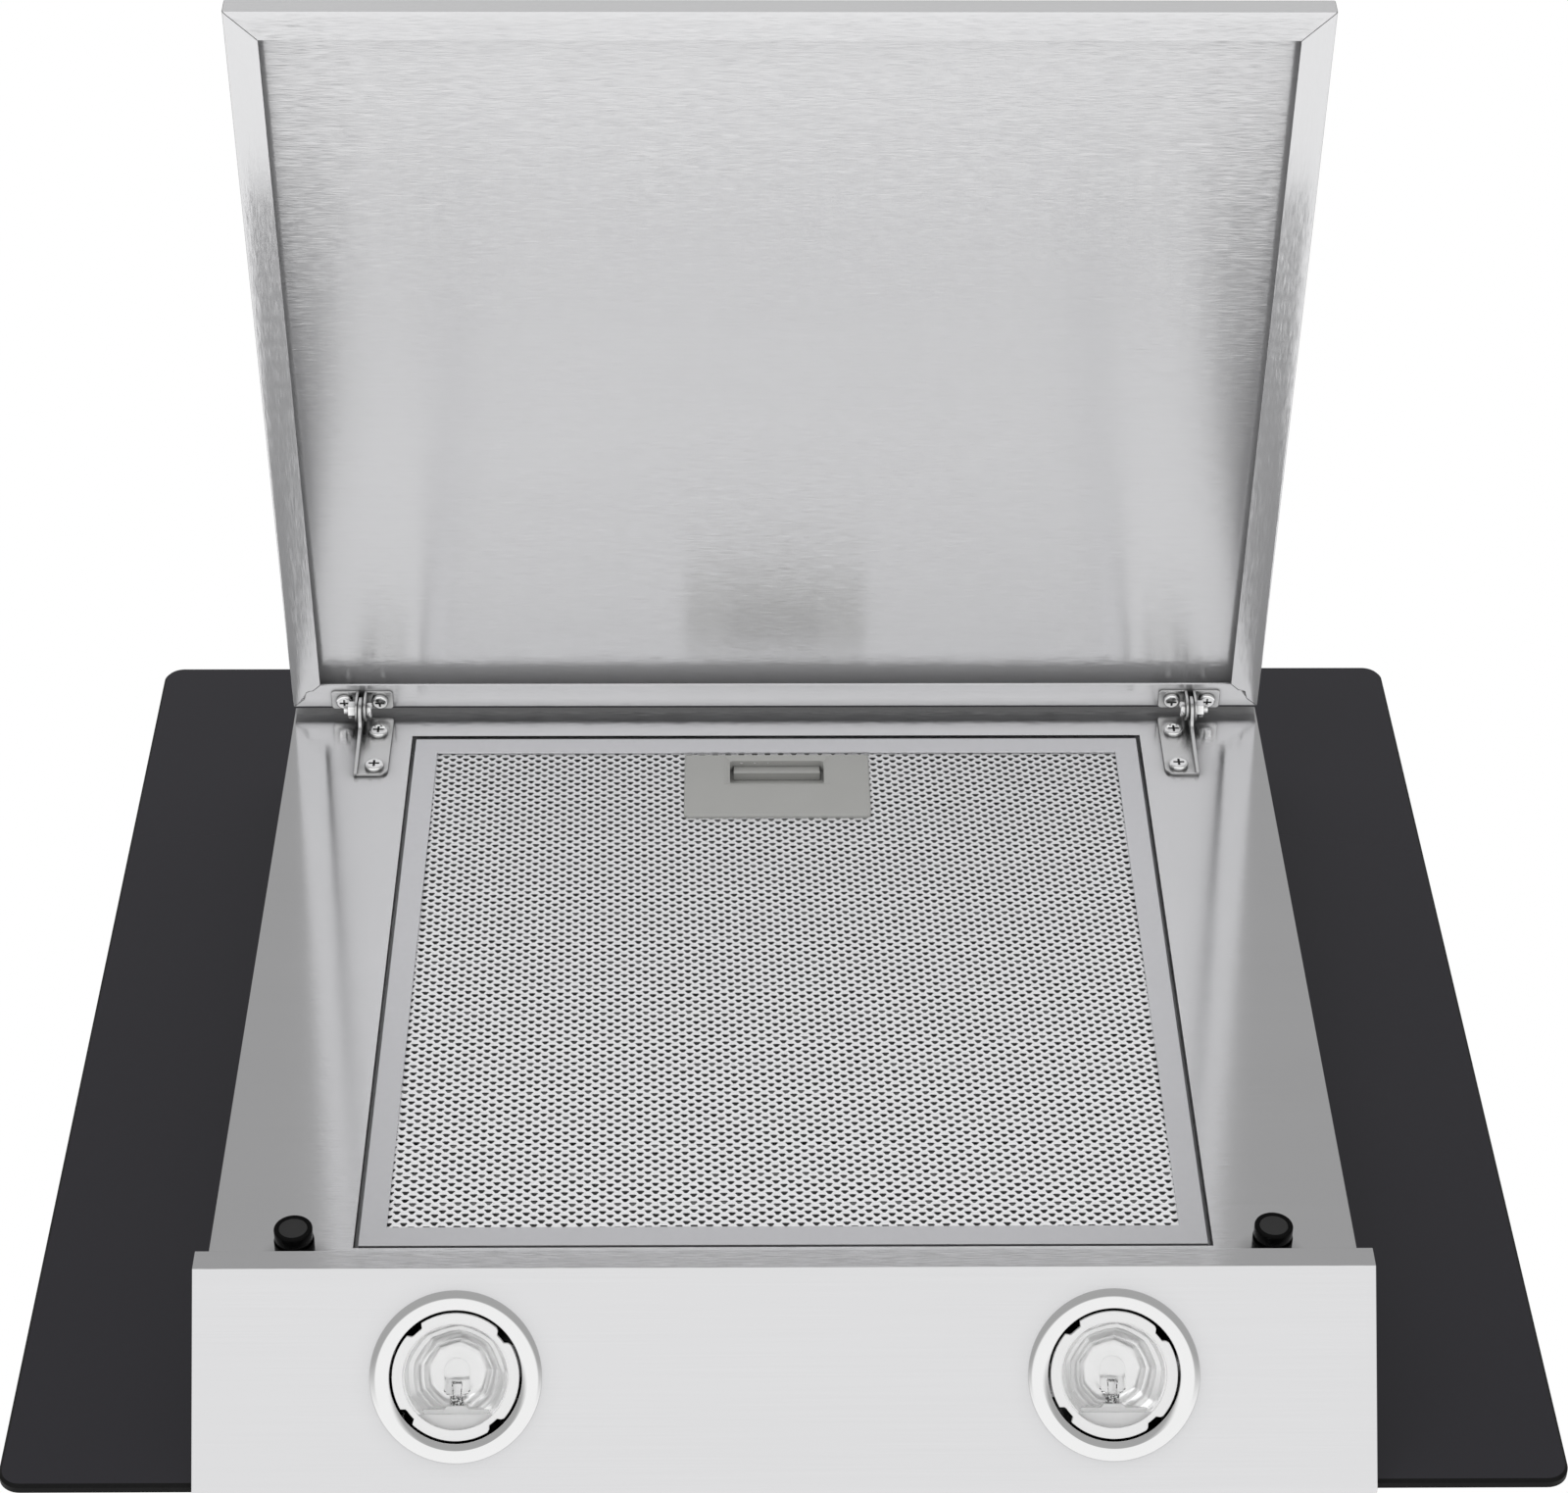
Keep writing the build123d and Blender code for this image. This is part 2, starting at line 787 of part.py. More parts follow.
def filter_mesh_front():
    mesh = inside_frame((mesh_top - mesh_thick, mesh_top))
    return slope_frame * (mesh - handle_space(bolt_gap, (mesh_top - past, mesh_top + past)))


def filter_mesh_back():
    return slope_frame * inside_frame((mesh_low, mesh_low + mesh_thick))


def filter_core():
    """Folded mesh sheet between the two faces, touching both."""
    low = mesh_low + mesh_thick + bolt_gap
    top = mesh_top - mesh_thick - bolt_gap
    start = filter_low + filter_wall + slide_gap
    step = (filter_high - filter_wall - slide_gap - start) / core_folds
    crest = [(start + step * i, top if i % 2 else low + core_sheet) for i in range(core_folds + 1)]
    under = [(up, out - core_sheet) for up, out in reversed(crest)]
    core = prism(crest + under, half(2 * (filter_half - filter_wall - slide_gap)))
    core -= handle_space(bolt_gap, (handle_back - bolt_gap, top + past))
    return slope_frame * (core - latch_slot(latch_tongue, filter_high, slide_gap))


def filter_handle():
    plate = handle_space(0, (handle_back, handle_face))
    plate = fillet(plate.edges().filter_by(Axis.Z).group_by(Axis.Y)[0], handle_corner)
    plate = fillet(plate.edges().group_by(Axis.Z)[-1], handle_round)
    depth = (latch_base - slide_gap, handle_face + past)
    recess = block(half(recess_width), (recess_low, recess_high), depth)
    plate -= fillet(recess.edges().filter_by(Axis.Z), recess_round)
    wide = recess_bevel_width
    rim = block(half(recess_width + 2 * wide), (recess_low - wide, recess_high + wide),
                (handle_face - recess_bevel, handle_face + recess_bevel))
    plate -= chamfer(rim.edges().group_by(Axis.Z)[0], recess_bevel, wide)
    return slope_frame * (plate - latch_slot(latch_width, handle_high + past, slide_gap))


def filter_latch():
    across = half(latch_width - 2 * slide_gap)
    level = (latch_base, latch_base + latch_thick)
    slider = block(across, (latch_up, handle_high - slide_gap), level)
    slider += block(across, (latch_up, latch_up + latch_lip), (latch_base, handle_face - latch_sunk))
    slider += block(half(latch_tongue), (latch_up, filter_high + filter_gap - 2 * slide_gap), level)
    return slope_frame * slider


def filter_seat():
    """Wall strip and flat ledge, welded behind the opening, with a slot for each tab."""
    wall = filter_opening_width / 2 + sheet
    low = filter_opening_low - sheet
    high = filter_opening_high + sheet
    base = filter_back - seat_gap - sheet
    top = plate_height - sheet
    walls = block((-wall - sheet, wall + sheet), (low - sheet, high + sheet), (base, top))
    walls -= block((-wall, wall), (low, high), (base - past, top + past))
    ledge = block((-wall, wall), (low, high), (base, base + sheet))
    ledge -= block(half(2 * (wall - seat_ledge)), (low + seat_ledge, high - seat_ledge), (base - past, top))
    for x in tab_places():
        slot = block(around(x, tab_width + 2 * tab_play), (low - past, low + seat_ledge + sheet),
                     (base - past, tab_level + tab_thick + tab_play))
        walls -= slot
        ledge -= slot
    return [slope_frame * piece for piece in walls.solids() + ledge.solids()]


# Blower

def spiral(inset, x):
    """Snail of the fan casing, growing from the top past the wall and the bottom to the front."""
    steps = 12
    points = []
    for step in range(steps + 1):
        share = step / steps
        angle = radians(90 - 270 * share)
        radius = scroll_small + scroll_growth * share - inset
        points.append((fan[0] + radius * cos(angle), fan[1] + radius * sin(angle)))
    outline = Spline(*points) + Line(points[-1], points[0])
    return extrude(Plane.YZ.offset(x[0]) * make_face(outline), x[1] - x[0])


def scroll_space(inset, x, top):
    front = fan[0] - scroll_large + inset
    return spiral(inset, x) + block(x, (front, fan[0] - inset), (fan[1], top))


def blower_scroll():
    reach = collar_radius + scroll_wall
    scroll = scroll_space(0, (-scroll_side, scroll_side), scroll_top)
    scroll += block(half(2 * reach), around(outlet_y, 2 * reach), (scroll_top - scroll_wall, scroll_top))
    scroll -= scroll_space(scroll_wall, (-scroll_side - past, scroll_side - scroll_wall), scroll_top + past)
    scroll -= rod(shaft_hole, (0, scroll_side + past), fan, "X")
    for at in motor_screw_places():
        scroll -= rod(motor_screw[0] + bolt_gap, (0, scroll_side + past), at, "X")
    for at in outlet_screw_places():
        scroll -= rod(outlet_screw[0] + bolt_gap, (scroll_top - past, scroll_top + past), at)
    return scroll


def scroll_cover():
    """The open side's cover, with the rounded inlet."""
    inlet_radius = impeller_radius - impeller_rim
    cover = scroll_space(0, (-scroll_side - scroll_wall, -scroll_side), scroll_top - scroll_wall)
    face = -scroll_side - inlet_lip
    lip = rod(inlet_radius + inlet_flare + scroll_wall, (face, -scroll_side), fan, "X")
    lip = fillet(lip.edges().group_by(Axis.X)[0], inlet_flare)
    bore = rod(inlet_radius, (face - past, past - scroll_side), fan, "X")
    flare = Pos(face, *fan) * Rot(0, 90, 0) * Cone(inlet_radius + inlet_flare, inlet_radius, inlet_flare)
    return cover + lip - bore - flare


hub_start = (impeller_width + scroll_side_gap) / 2 - hub_length
shaft_hole = shaft_radius + 2 * scroll_wall
motor_start = scroll_side + motor_plate_thick
motor_end = motor_start + motor_length


def impeller():
    """Wheel with forward-curved blades, moulded in one piece with its hub."""
    side = impeller_width / 2
    wheel = rod(impeller_radius, (side - impeller_plate, side), fan, "X")
    wheel += rod(hub_radius, (hub_start, hub_start + hub_length), fan, "X")
    rim = rod(impeller_radius, (-side, -side + impeller_plate), fan, "X")
    rim -= rod(impeller_radius - impeller_rim, (-side - past, past - side), fan, "X")
    blade_at = impeller_radius - blade_chord / 2 - blade_sheet / 2
    blade = Pos(0, blade_at, 0) * Rot(blade_pitch_deg, 0, 0) * Box(impeller_width, blade_chord, blade_sheet)
    blades = [Rot(360 / blade_count * i, 0, 0) * blade for i in range(blade_count)]
    wheel = wheel + rim + Pos(0, *fan) * (Part() + blades)
    return wheel - rod(shaft_radius, (hub_start - past, hub_start + hub_length + past), fan, "X")


def motor_shaft():
    return rod(shaft_radius, (hub_start, motor_end - motor_boss), fan, "X")


def motor_screw_places():
    reach = motor_radius + motor_screw_out
    return [(fan[0] + reach * cos(radians(a)), fan[1] + reach * sin(radians(a))) for a in (30, 150, 270)]


def motor_plate():
    through = (0, motor_end)
    plate = rod(motor_radius + 2 * motor_screw_out, (scroll_side, motor_start), fan, "X")
    plate -= rod(shaft_hole, through, fan, "X")
    for at in motor_screw_places():
        plate -= rod(motor_screw[0] + bolt_gap, through, at, "X")
    return plate


def motor():
    can = rod(motor_radius, (motor_start, motor_end), fan, "X")
    can = fillet(can.edges().group_by(Axis.X)[-1], motor_radius / 10)
    can += rod(motor_boss_radius, (motor_end - motor_boss, motor_end + motor_boss), fan, "X")
    return can - rod(shaft_radius + bolt_gap, (0, motor_end - motor_boss + bolt_gap), fan, "X")


def motor_screws():
    screw = Rot(0, 90, 0) * pan_screw(motor_screw, motor_plate_thick + scroll_wall)
    return [Pos(motor_start, y, z) * screw for y, z in motor_screw_places()]


# Outlet with its two non-return flaps

damper_pivot = housing_roof + damper_height
damper_edge = collar_bore - 1
damper_pin_end = collar_bore + collar_wall / 2


def outlet_collar():
    """Duct spigot with a ledge that the flaps close on and a bar between their pins."""
    base = housing_roof
    at = (0, outlet_y)
    collar = rod(collar_radius + collar_lip, (base, base + collar_lip_thick), at)
    collar += rod(collar_radius, (base, base + collar_height), at)
    collar -= rod(collar_bore, (base - past, base + collar_height + past), at)
    inside_wall = collar_bore + collar_wall / 4
    ledge_top = damper_pivot - damper_thick / 2 - slide_gap
    ledge = rod(inside_wall, (ledge_top - rib, ledge_top), at)
    ledge -= rod(collar_bore - damper_ledge, (base, damper_pivot), at)
    bar_width = 2 * (damper_offset - damper_pin - damper_bar_gap)
    collar += ledge + block(half(2 * inside_wall), around(outlet_y, bar_width), around(damper_pivot, 2 * rib))
    for side in (-1, 1):
        pin_at = (outlet_y + side * damper_offset, damper_pivot)
        reach = damper_pin_end + slide_gap
        collar -= rod(damper_pin + bolt_gap, (-reach, reach), pin_at, "X")
    for screw_at in outlet_screw_places():
        collar -= rod(outlet_screw[0] + bolt_gap, (base - past, base + past), screw_at)
    return collar


def damper_flap(side):
    """Half disc that swings on its straight edge; side is 1 towards the wall."""
    y = outlet_y + side * damper_offset
    plate = rod(damper_edge, around(damper_pivot, damper_thick), (0, outlet_y))
    keep = sorted((y, y + side * 2 * damper_edge))
    plate &= block((-damper_edge, damper_edge), keep, (damper_pivot - past, damper_pivot + past))
    return plate + rod(damper_pin, (-damper_pin_end, damper_pin_end), (y, damper_pivot), "X")


def outlet_screws():
    screw = pan_screw(outlet_screw, collar_lip_thick + housing_sheet + scroll_wall)
    return [Pos(x, y, housing_roof + collar_lip_thick) * screw for x, y in outlet_screw_places()]


# Electrical parts

def terminal_box():
    """Mains box in the upper corner at the wall, under the cable gland."""
    across = around(gland_across, box_width)
    back = -housing_sheet
    low = scroll_top - box_height
    box = block(across, (back - box_depth, back), (low, scroll_top))
    box -= block((across[0] + box_wall, across[1] - box_wall), (back - box_depth + box_wall, back - box_wall),
                 (low + box_wall, scroll_top - box_wall))
    return box - rod(gland_bore + gland_wall + bolt_gap, (scroll_top - past, scroll_top + past), gland_at)


def terminal_block():
    floor = scroll_top - box_height + box_wall
    top = floor + terminal_height
    base = block(around(gland_across, terminal_width), around(-gland_behind, terminal_depth), (floor, top))
    for step in (-1, 0, 1):
        well_at = (gland_across + terminal_pitch * step, -gland_behind - terminal_depth / 4)
        base -= rod(terminal_hole, (floor + terminal_height / 2, top + past), well_at)
    return base


def cable_gland():
    """Screwed gland for a cord of twice the bore's radius."""
    roof = housing_roof
    neck = gland_bore + gland_wall
    shoulder = roof + gland_flange_thick
    body = rod(neck, (scroll_top - box_wall - gland_flange_thick, roof + gland_flange), gland_at)
    body += rod(neck + gland_flange, (roof, shoulder), gland_at)
    cap = rod(neck + gland_flange / 2, (shoulder, shoulder + gland_cap), gland_at)
    body += fillet(cap.edges().group_by(Axis.Z)[-1], gland_flange * 0.8)
    return body - rod(gland_bore, (roof - 3 * past, roof + 3 * past), gland_at)


capacitor_top = scroll_top - capacitor_drop
capacitor_at = (gland_across, -housing_sheet - capacitor_radius - clip_wall)


def capacitor():
    can = rod(capacitor_radius, (capacitor_top - capacitor_length, capacitor_top), capacitor_at)
    can = fillet(can.edges().group_by(Axis.Z)[0], capacitor_radius / 9)
    return can + rod(capacitor_cap_radius, (capacitor_top, capacitor_top + capacitor_cap), capacitor_at)


def capacitor_clip():
    """Moulded saddle on the housing's back wall, open towards the front."""
    height = around(capacitor_top - capacitor_length / 2, clip_height)
    across = around(gland_across, 2 * (capacitor_radius + clip_wall))
    clip = block(across, (capacitor_at[1] - clip_wall, -housing_sheet), height)
    return clip - rod(capacitor_radius + slide_gap, (height[0] - past, height[1] + past), capacitor_at)


def lamp_transformer():
    back = -housing_sheet
    low = housing_floor + housing_sheet + transformer_above_floor
    top = low + transformer_height
    box = block(around(transformer_across, transformer_width), (back - transformer_depth, back), (low, top))
    box = fillet(box.edges().group_by(Axis.Y)[0], transformer_depth / 15)
    feet_width = transformer_width + 2 * transformer_foot
    return box + block(around(transformer_across, feet_width), (back - transformer_depth / 10, back),
                       (low + transformer_foot, top - transformer_foot))


def touch_board():
    span = (touch_low, touch_low + touch_length)
    return slope_frame * block(half(touch_width), span, (back_of_glass - touch_board_thick, back_of_glass))


def touch_cover():
    span = (touch_low, touch_low + touch_length)
    top = back_of_glass - touch_board_thick
    low = back_of_glass - touch_cover_depth
    cover = block(half(touch_width), span, (low, top))
    cover -= block(half(touch_width - 2 * box_wall), (span[0] + box_wall, span[1] - box_wall),
                   (low + box_wall, top + past))
    return slope_frame * cover


def hinge_parts():
    placed = {}
    for word, turn in (("right", unturned), ("left", mirrored)):
        placed[f"hinge_bracket_{word}"] = turn(slope_frame * hinge_bracket())
        placed[f"flap_angles_{word}"] = [turn(flap_frame * angle) for angle in flap_angles()]
        placed[f"catch_post_{word}"] = turn(at_post(catch_post()))
    return placed


nodes = {
    "glass_panel": glass_panel(),
    "glass_grommets": glass_grommets(),
    "glass_carrier": glass_carrier(),
    "rear_housing": rear_housing(),
    "hanger_plates": hanger_plates(),
    "body_screws": body_screws(),
    "body_nuts": body_nuts(),
    "body_tray": body_tray(),
    "lamp_strip": lamp_strip(),
    "filter_seat": filter_seat(),
    "hinge_foot_screws": hinge_foot_screws(),
    "flap_angle_screws": flap_angle_screws(),
    "hinge_washers": hinge_washers(),
    "hinge_bolts": both_sides(hinge_bolt()),
    "hinge_nuts": both_sides(hinge_nut()),
    "catch_magnets": both_sides(at_post(catch_magnet())),
    "flap_panel": flap_panel(),
    "filter_frame": filter_frame(),
    "filter_mesh_front": filter_mesh_front(),
    "filter_mesh_back": filter_mesh_back(),
    "filter_core": filter_core(),
    "filter_handle": filter_handle(),
    "filter_latch": filter_latch(),
    "blower_scroll": blower_scroll(),
    "scroll_cover": scroll_cover(),
    "impeller": impeller(),
    "motor_shaft": motor_shaft(),
    "motor_plate": motor_plate(),
    "motor": motor(),
    "motor_screws": motor_screws(),
    "outlet_collar": outlet_collar(),
    "damper_flap_rear": damper_flap(1),
    "damper_flap_front": damper_flap(-1),
    "outlet_screws": outlet_screws(),
    "terminal_box": terminal_box(),
    "terminal_block": terminal_block(),
    "cable_gland": cable_gland(),
    "capacitor": capacitor(),
    "capacitor_clip": capacitor_clip(),
    "lamp_transformer": lamp_transformer(),
    "touch_board": touch_board(),
    "touch_cover": touch_cover(),
}
nodes.update(lamp_parts())
nodes.update(hinge_parts())

os.makedirs("parts", exist_ok=True)
for name, shape in nodes.items():
    solids = shape if isinstance(shape, list) else [shape]
    bodies = [solid for piece in solids for solid in piece.solids()]
    export_step(Compound(bodies) if len(bodies) > 1 else bodies[0], f"parts/{name}.step")
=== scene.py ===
import json
import random
from math import cos, radians, sin, tan, tau

import bmesh
import bpy
from mathutils import Matrix, Vector

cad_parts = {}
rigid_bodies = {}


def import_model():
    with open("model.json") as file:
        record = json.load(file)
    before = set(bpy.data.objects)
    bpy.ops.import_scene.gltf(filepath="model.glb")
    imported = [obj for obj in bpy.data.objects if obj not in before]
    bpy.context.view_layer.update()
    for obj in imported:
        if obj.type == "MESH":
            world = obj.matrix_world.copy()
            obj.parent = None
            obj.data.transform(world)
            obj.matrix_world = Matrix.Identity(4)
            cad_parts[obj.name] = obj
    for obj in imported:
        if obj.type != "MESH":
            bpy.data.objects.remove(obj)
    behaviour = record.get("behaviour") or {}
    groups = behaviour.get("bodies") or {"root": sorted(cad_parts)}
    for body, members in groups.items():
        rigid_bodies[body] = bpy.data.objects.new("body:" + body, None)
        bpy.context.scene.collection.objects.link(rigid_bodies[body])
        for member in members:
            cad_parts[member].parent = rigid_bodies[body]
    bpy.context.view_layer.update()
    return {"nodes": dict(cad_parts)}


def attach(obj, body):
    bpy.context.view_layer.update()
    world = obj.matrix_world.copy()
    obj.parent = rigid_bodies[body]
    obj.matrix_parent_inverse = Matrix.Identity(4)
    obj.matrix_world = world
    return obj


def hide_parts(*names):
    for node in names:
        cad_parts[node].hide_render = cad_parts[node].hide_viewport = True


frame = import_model()

# The hood hangs on a wall, its front 52 degrees from level. The camera is below it and looks
# straight up, so the flap, the filter and the lamps all face it.
# Slope frame: X across, up the glass from its lower edge, and out of the glass.
mm = 0.001
slope = radians(52.0)
glass_foot = Vector((0, -14 * mm, -370 * mm))
up_the_glass = Vector((0, -cos(slope), sin(slope)))
out_of_glass = Vector((0, -sin(slope), -cos(slope)))


def on_slope(across, up, out):
    """Point of the shared frame from millimetres in the slope frame."""
    return glass_foot + Vector((across, 0, 0)) * mm + up_the_glass * up * mm + out_of_glass * out * mm


picture_width = 1600
focal_pixels = 3912
sensor_width = 36
pitch = 0.942
yaw = 0.01126
roll = 0.0015
camera = bpy.data.objects.new("camera", bpy.data.cameras.new("camera"))
bpy.context.scene.collection.objects.link(camera)
bpy.context.scene.camera = camera
camera.data.sensor_width = sensor_width
camera.data.lens = sensor_width * focal_pixels / picture_width
camera.data.clip_start = 0.05
camera.location = on_slope(-16.5, -1014.6, 1084.3)
ahead = up_the_glass * sin(pitch) - out_of_glass * cos(pitch)
above = up_the_glass * cos(pitch) + out_of_glass * sin(pitch)
right = Vector((1, 0, 0))
ahead, right = ahead * cos(yaw) + right * sin(yaw), right * cos(yaw) - ahead * sin(yaw)
above, right = above * cos(roll) + right * sin(roll), right * cos(roll) - above * sin(roll)
turn = Matrix((right, above, -ahead)).transposed()
camera.rotation_mode = "QUATERNION"
camera.rotation_quaternion = turn.to_quaternion()
bpy.context.scene.view_settings.view_transform = "Standard"


# Light: a room and a floor that are plain white to the camera, with a duller side that polished
# and brushed steel mirrors, and two wide soft lamps.
class Wire:
    """An output socket, so that shader sums are written as sums."""

    def __init__(self, nodes, socket):
        self.nodes = nodes
        self.socket = socket

    def math(self, operation, first, second=0.0):
        return self.nodes.node("ShaderNodeMath", {"operation": operation}, {0: first, 1: second})

    def __add__(self, other):
        return self.math("ADD", self, other)

    __radd__ = __add__

    def __sub__(self, other):
        return self.math("SUBTRACT", self, other)

    def __rsub__(self, other):
        return self.math("SUBTRACT", other, self)

    def __mul__(self, other):
        return self.math("MULTIPLY", self, other)

    __rmul__ = __mul__

    def larger(self, other):
        return self.math("MAXIMUM", self, other)

    def step(self, start, end):
        """0 below start and 1 above end, smooth between them."""
        return self.nodes.node("ShaderNodeMapRange", {"interpolation_type": "SMOOTHSTEP"},
                               {"Value": self, "From Min": start, "From Max": end})


class Nodes:
    """Fills one node tree, of a material or of the world."""

    def __init__(self, tree):
        self.tree = tree
        tree.nodes.clear()

    def node(self, kind, settings=None, sockets=None, out=0):
        """A node from its type, its settings and its sockets' values or links; gives one output."""
        made = self.tree.nodes.new(kind)
        for name, value in (settings or {}).items():
            setattr(made, name, value)
        for name, value in (sockets or {}).items():
            if isinstance(value, Wire):
                self.tree.links.new(value.socket, made.inputs[name])
            else:
                made.inputs[name].default_value = value
        return Wire(self, made.outputs[out]) if made.outputs else None

    def place(self, scale=(1, 1, 1)):
        """The point in the piece's own frame, stretched by scale."""
        point = self.node("ShaderNodeTexCoord", out="Object")
        return self.node("ShaderNodeVectorMath", {"operation": "MULTIPLY"}, {0: point, 1: scale})

    def split(self, vector):
        """The three parts of a vector."""
        parts = self.node("ShaderNodeSeparateXYZ", {}, {"Vector": vector})
        outputs = parts.socket.node.outputs
        return [Wire(self, outputs[i]) for i in range(3)]

    def noise(self, scale, detail=2.0, roughness=0.5, seed=0.0):
        """Noise from 0 to 1 at this many waves a metre along each axis."""
        return self.node("ShaderNodeTexNoise", {"noise_dimensions": "4D"},
                         {"Vector": self.place(scale), "W": seed, "Scale": 1.0, "Detail": detail,
                          "Roughness": roughness}, out="Fac")

    def mix(self, share, first, second):
        """Colour between two colours."""
        return self.node("ShaderNodeMix", {"data_type": "RGBA"},
                         {"Factor": share, 6: first, 7: second}, out=2)

    def grey(self, level, tint=(1, 1, 1)):
        """Colour of this level, given as a number that changes over the surface."""
        return self.mix(level, (0, 0, 0, 1), (*tint, 1))

    def painted_corner_shade(self, reach, weight):
        """Painted shade for a base colour: 1 on open surface, less in corners that other metal shades
        within reach, in millimetres.
        """
        clear = self.node("ShaderNodeAmbientOcclusion", {"samples": 6}, {"Distance": reach * mm}, out="AO")
        return clear.math("POWER", clear, weight)

    def camera_ray(self):
        return self.node("ShaderNodeLightPath", out="Is Camera Ray")

    def shown_plainly(self):
        """1 for rays from the camera, off gloss or through glass, else 0."""
        camera_ray = self.camera_ray()
        outputs = camera_ray.socket.node.outputs
        gloss = Wire(self, outputs["Is Glossy Ray"])
        glass = Wire(self, outputs["Is Transmission Ray"])
        return camera_ray.larger(gloss).larger(glass)


dull_side = 0.42
diffuse_level = 0.86
lean_to_wall = 0.55
below_start, below_end = 0.48, 0.68
wall_start, wall_end = -0.1, 0.5


def mirrored_level(nodes, direction):
    """Brightness that metal and glass mirror from the room in this direction."""
    _, back, up = nodes.split(direction)
    below = (back * lean_to_wall - up).step(below_start, below_end)
    wall_side = back.step(wall_start, wall_end)
    return below.larger(wall_side) * (1 - dull_side) + dull_side


world = bpy.data.worlds.new("room")
bpy.context.scene.world = world
world.use_nodes = True
room = Nodes(world.node_tree)
mirrored = mirrored_level(room, room.node("ShaderNodeTexCoord", out="Generated"))
plainly = room.shown_plainly()
level = (plainly * mirrored + (1 - plainly) * diffuse_level).larger(room.camera_ray())
far_white = room.node("ShaderNodeBackground", {}, {"Color": (1, 1, 1, 1), "Strength": level})
room.node("ShaderNodeOutputWorld", {}, {"Surface": far_white})


def new_finish(name):
    """A named material with an empty node tree."""
    material = bpy.data.materials.new(name)
    material.use_nodes = True
    return material, Nodes(material.node_tree)


def surface(nodes, **sockets):
    """Principled surface from sockets written with underscores, joined to the output."""
    named = {name.replace("_", " "): value for name, value in sockets.items()}
    shader = nodes.node("ShaderNodeBsdfPrincipled", {}, named)
    nodes.node("ShaderNodeOutputMaterial", {}, {"Surface": shader})


def mesh_piece(name, points, faces, material, sharp_over=35):
    """An object from points in metres and faces as lists of their numbers."""
    mesh = bpy.data.meshes.new(name)
    mesh.from_pydata([tuple(p) for p in points], [], faces)
    mesh.materials.append(material)
    shape = bmesh.new()
    shape.from_mesh(mesh)
    bmesh.ops.recalc_face_normals(shape, faces=shape.faces)
    shape.to_mesh(mesh)
    shape.free()
    mesh.shade_smooth()
    mesh.set_sharp_from_angle(angle=radians(sharp_over))
    piece = bpy.data.objects.new(name, mesh)
    bpy.context.scene.collection.objects.link(piece)
    return piece


hood_middle = (0, -0.3, -0.2)
floor_level = -3.0
floor_reach = 6.0
floor_paint, nodes = new_finish("floor_paint")
chalk = nodes.noise((3, 3, 3)) * 0.02 + 0.80
matt = nodes.node("ShaderNodeBsdfDiffuse", {}, {"Color": nodes.grey(chalk)})
seen_from = nodes.node("ShaderNodeVectorMath", {"operation": "SUBTRACT"},
                       {0: nodes.node("ShaderNodeNewGeometry", out="Position"), 1: hood_middle})
seen_from = nodes.node("ShaderNodeVectorMath", {"operation": "NORMALIZE"}, {0: seen_from})
shown = nodes.grey(mirrored_level(nodes, seen_from).larger(nodes.camera_ray()))
plain = nodes.node("ShaderNodeEmission", {}, {"Color": shown, "Strength": 1.0})
either = nodes.node("ShaderNodeMixShader", {}, {0: nodes.shown_plainly(), 1: matt, 2: plain})
nodes.node("ShaderNodeOutputMaterial", {}, {"Surface": either})
corners = [(-floor_reach, -floor_reach), (floor_reach, -floor_reach), (floor_reach, floor_reach),
           (-floor_reach, floor_reach)]
floor = mesh_piece("floor", [(x, y, floor_level) for x, y in corners], [[0, 1, 2, 3]], floor_paint)


def soft_lamp(name, place, aim, size, watts):
    """Square lamp that lights the hood and isn't mirrored in it."""
    light = bpy.data.lights.new(name, "AREA")
    light.size = size
    light.energy = watts
    lamp = bpy.data.objects.new(name, light)
    lamp.location = place
    lamp.rotation_mode = "QUATERNION"
    lamp.rotation_quaternion = (Vector(aim) - Vector(place)).to_track_quat("-Z", "Y")
    lamp.visible_glossy = False
    bpy.context.scene.collection.objects.link(lamp)


soft_lamp("lamp_low", (-0.8, -1.3, -1.5), hood_middle, size=1.2, watts=5)
soft_lamp("lamp_high", (1.4, -1.6, 1.3), hood_middle, size=1.6, watts=9)


def dress(node, material, edge=0.0):
    """Gives a CAD piece its finish, and a small round on its edges, so that they catch the light."""
    shown = frame["nodes"][node]
    shown.data.materials.clear()
    shown.data.materials.append(material)
    if edge:
        soften(shown, edge)


def soften(piece, edge):
    """Rounds the sharp edges of a piece by this many millimetres."""
    weld = piece.modifiers.new("weld", "WELD")
    weld.merge_threshold = 0.01 * mm
    bevel = piece.modifiers.new("round", "BEVEL")
    bevel.width = edge * mm
    bevel.segments = 2
    bevel.limit_method = "ANGLE"
    bevel.angle_limit = radians(40)
    bevel.harden_normals = True


# Glass panel: 5 mm toughened glass, polished in front, enamelled black behind, with a ground and
# chamfered edge. Rubber grommets line the holes of the screws that clamp the body to it.
ground_from, ground_to = 0.93, 0.97
black_glass, nodes = new_finish("black_glass")
wipe = nodes.noise((7, 7, 7), 3.0).step(0.45, 0.8)
face = nodes.node("ShaderNodeBsdfPrincipled", {}, {
    "Base Color": nodes.mix(wipe, (0.019, 0.018, 0.023, 1), (0.021, 0.020, 0.025, 1)),
    "Roughness": wipe * 0.03 + 0.02, "IOR": 1.45})
ground = nodes.node("ShaderNodeBsdfPrincipled", {}, {
    "Base Color": nodes.grey(nodes.noise((700, 700, 700)) * 0.006 + 0.006),
    "Roughness": 0.45, "IOR": 1.18})
facing = nodes.node("ShaderNodeNewGeometry", out="Normal")
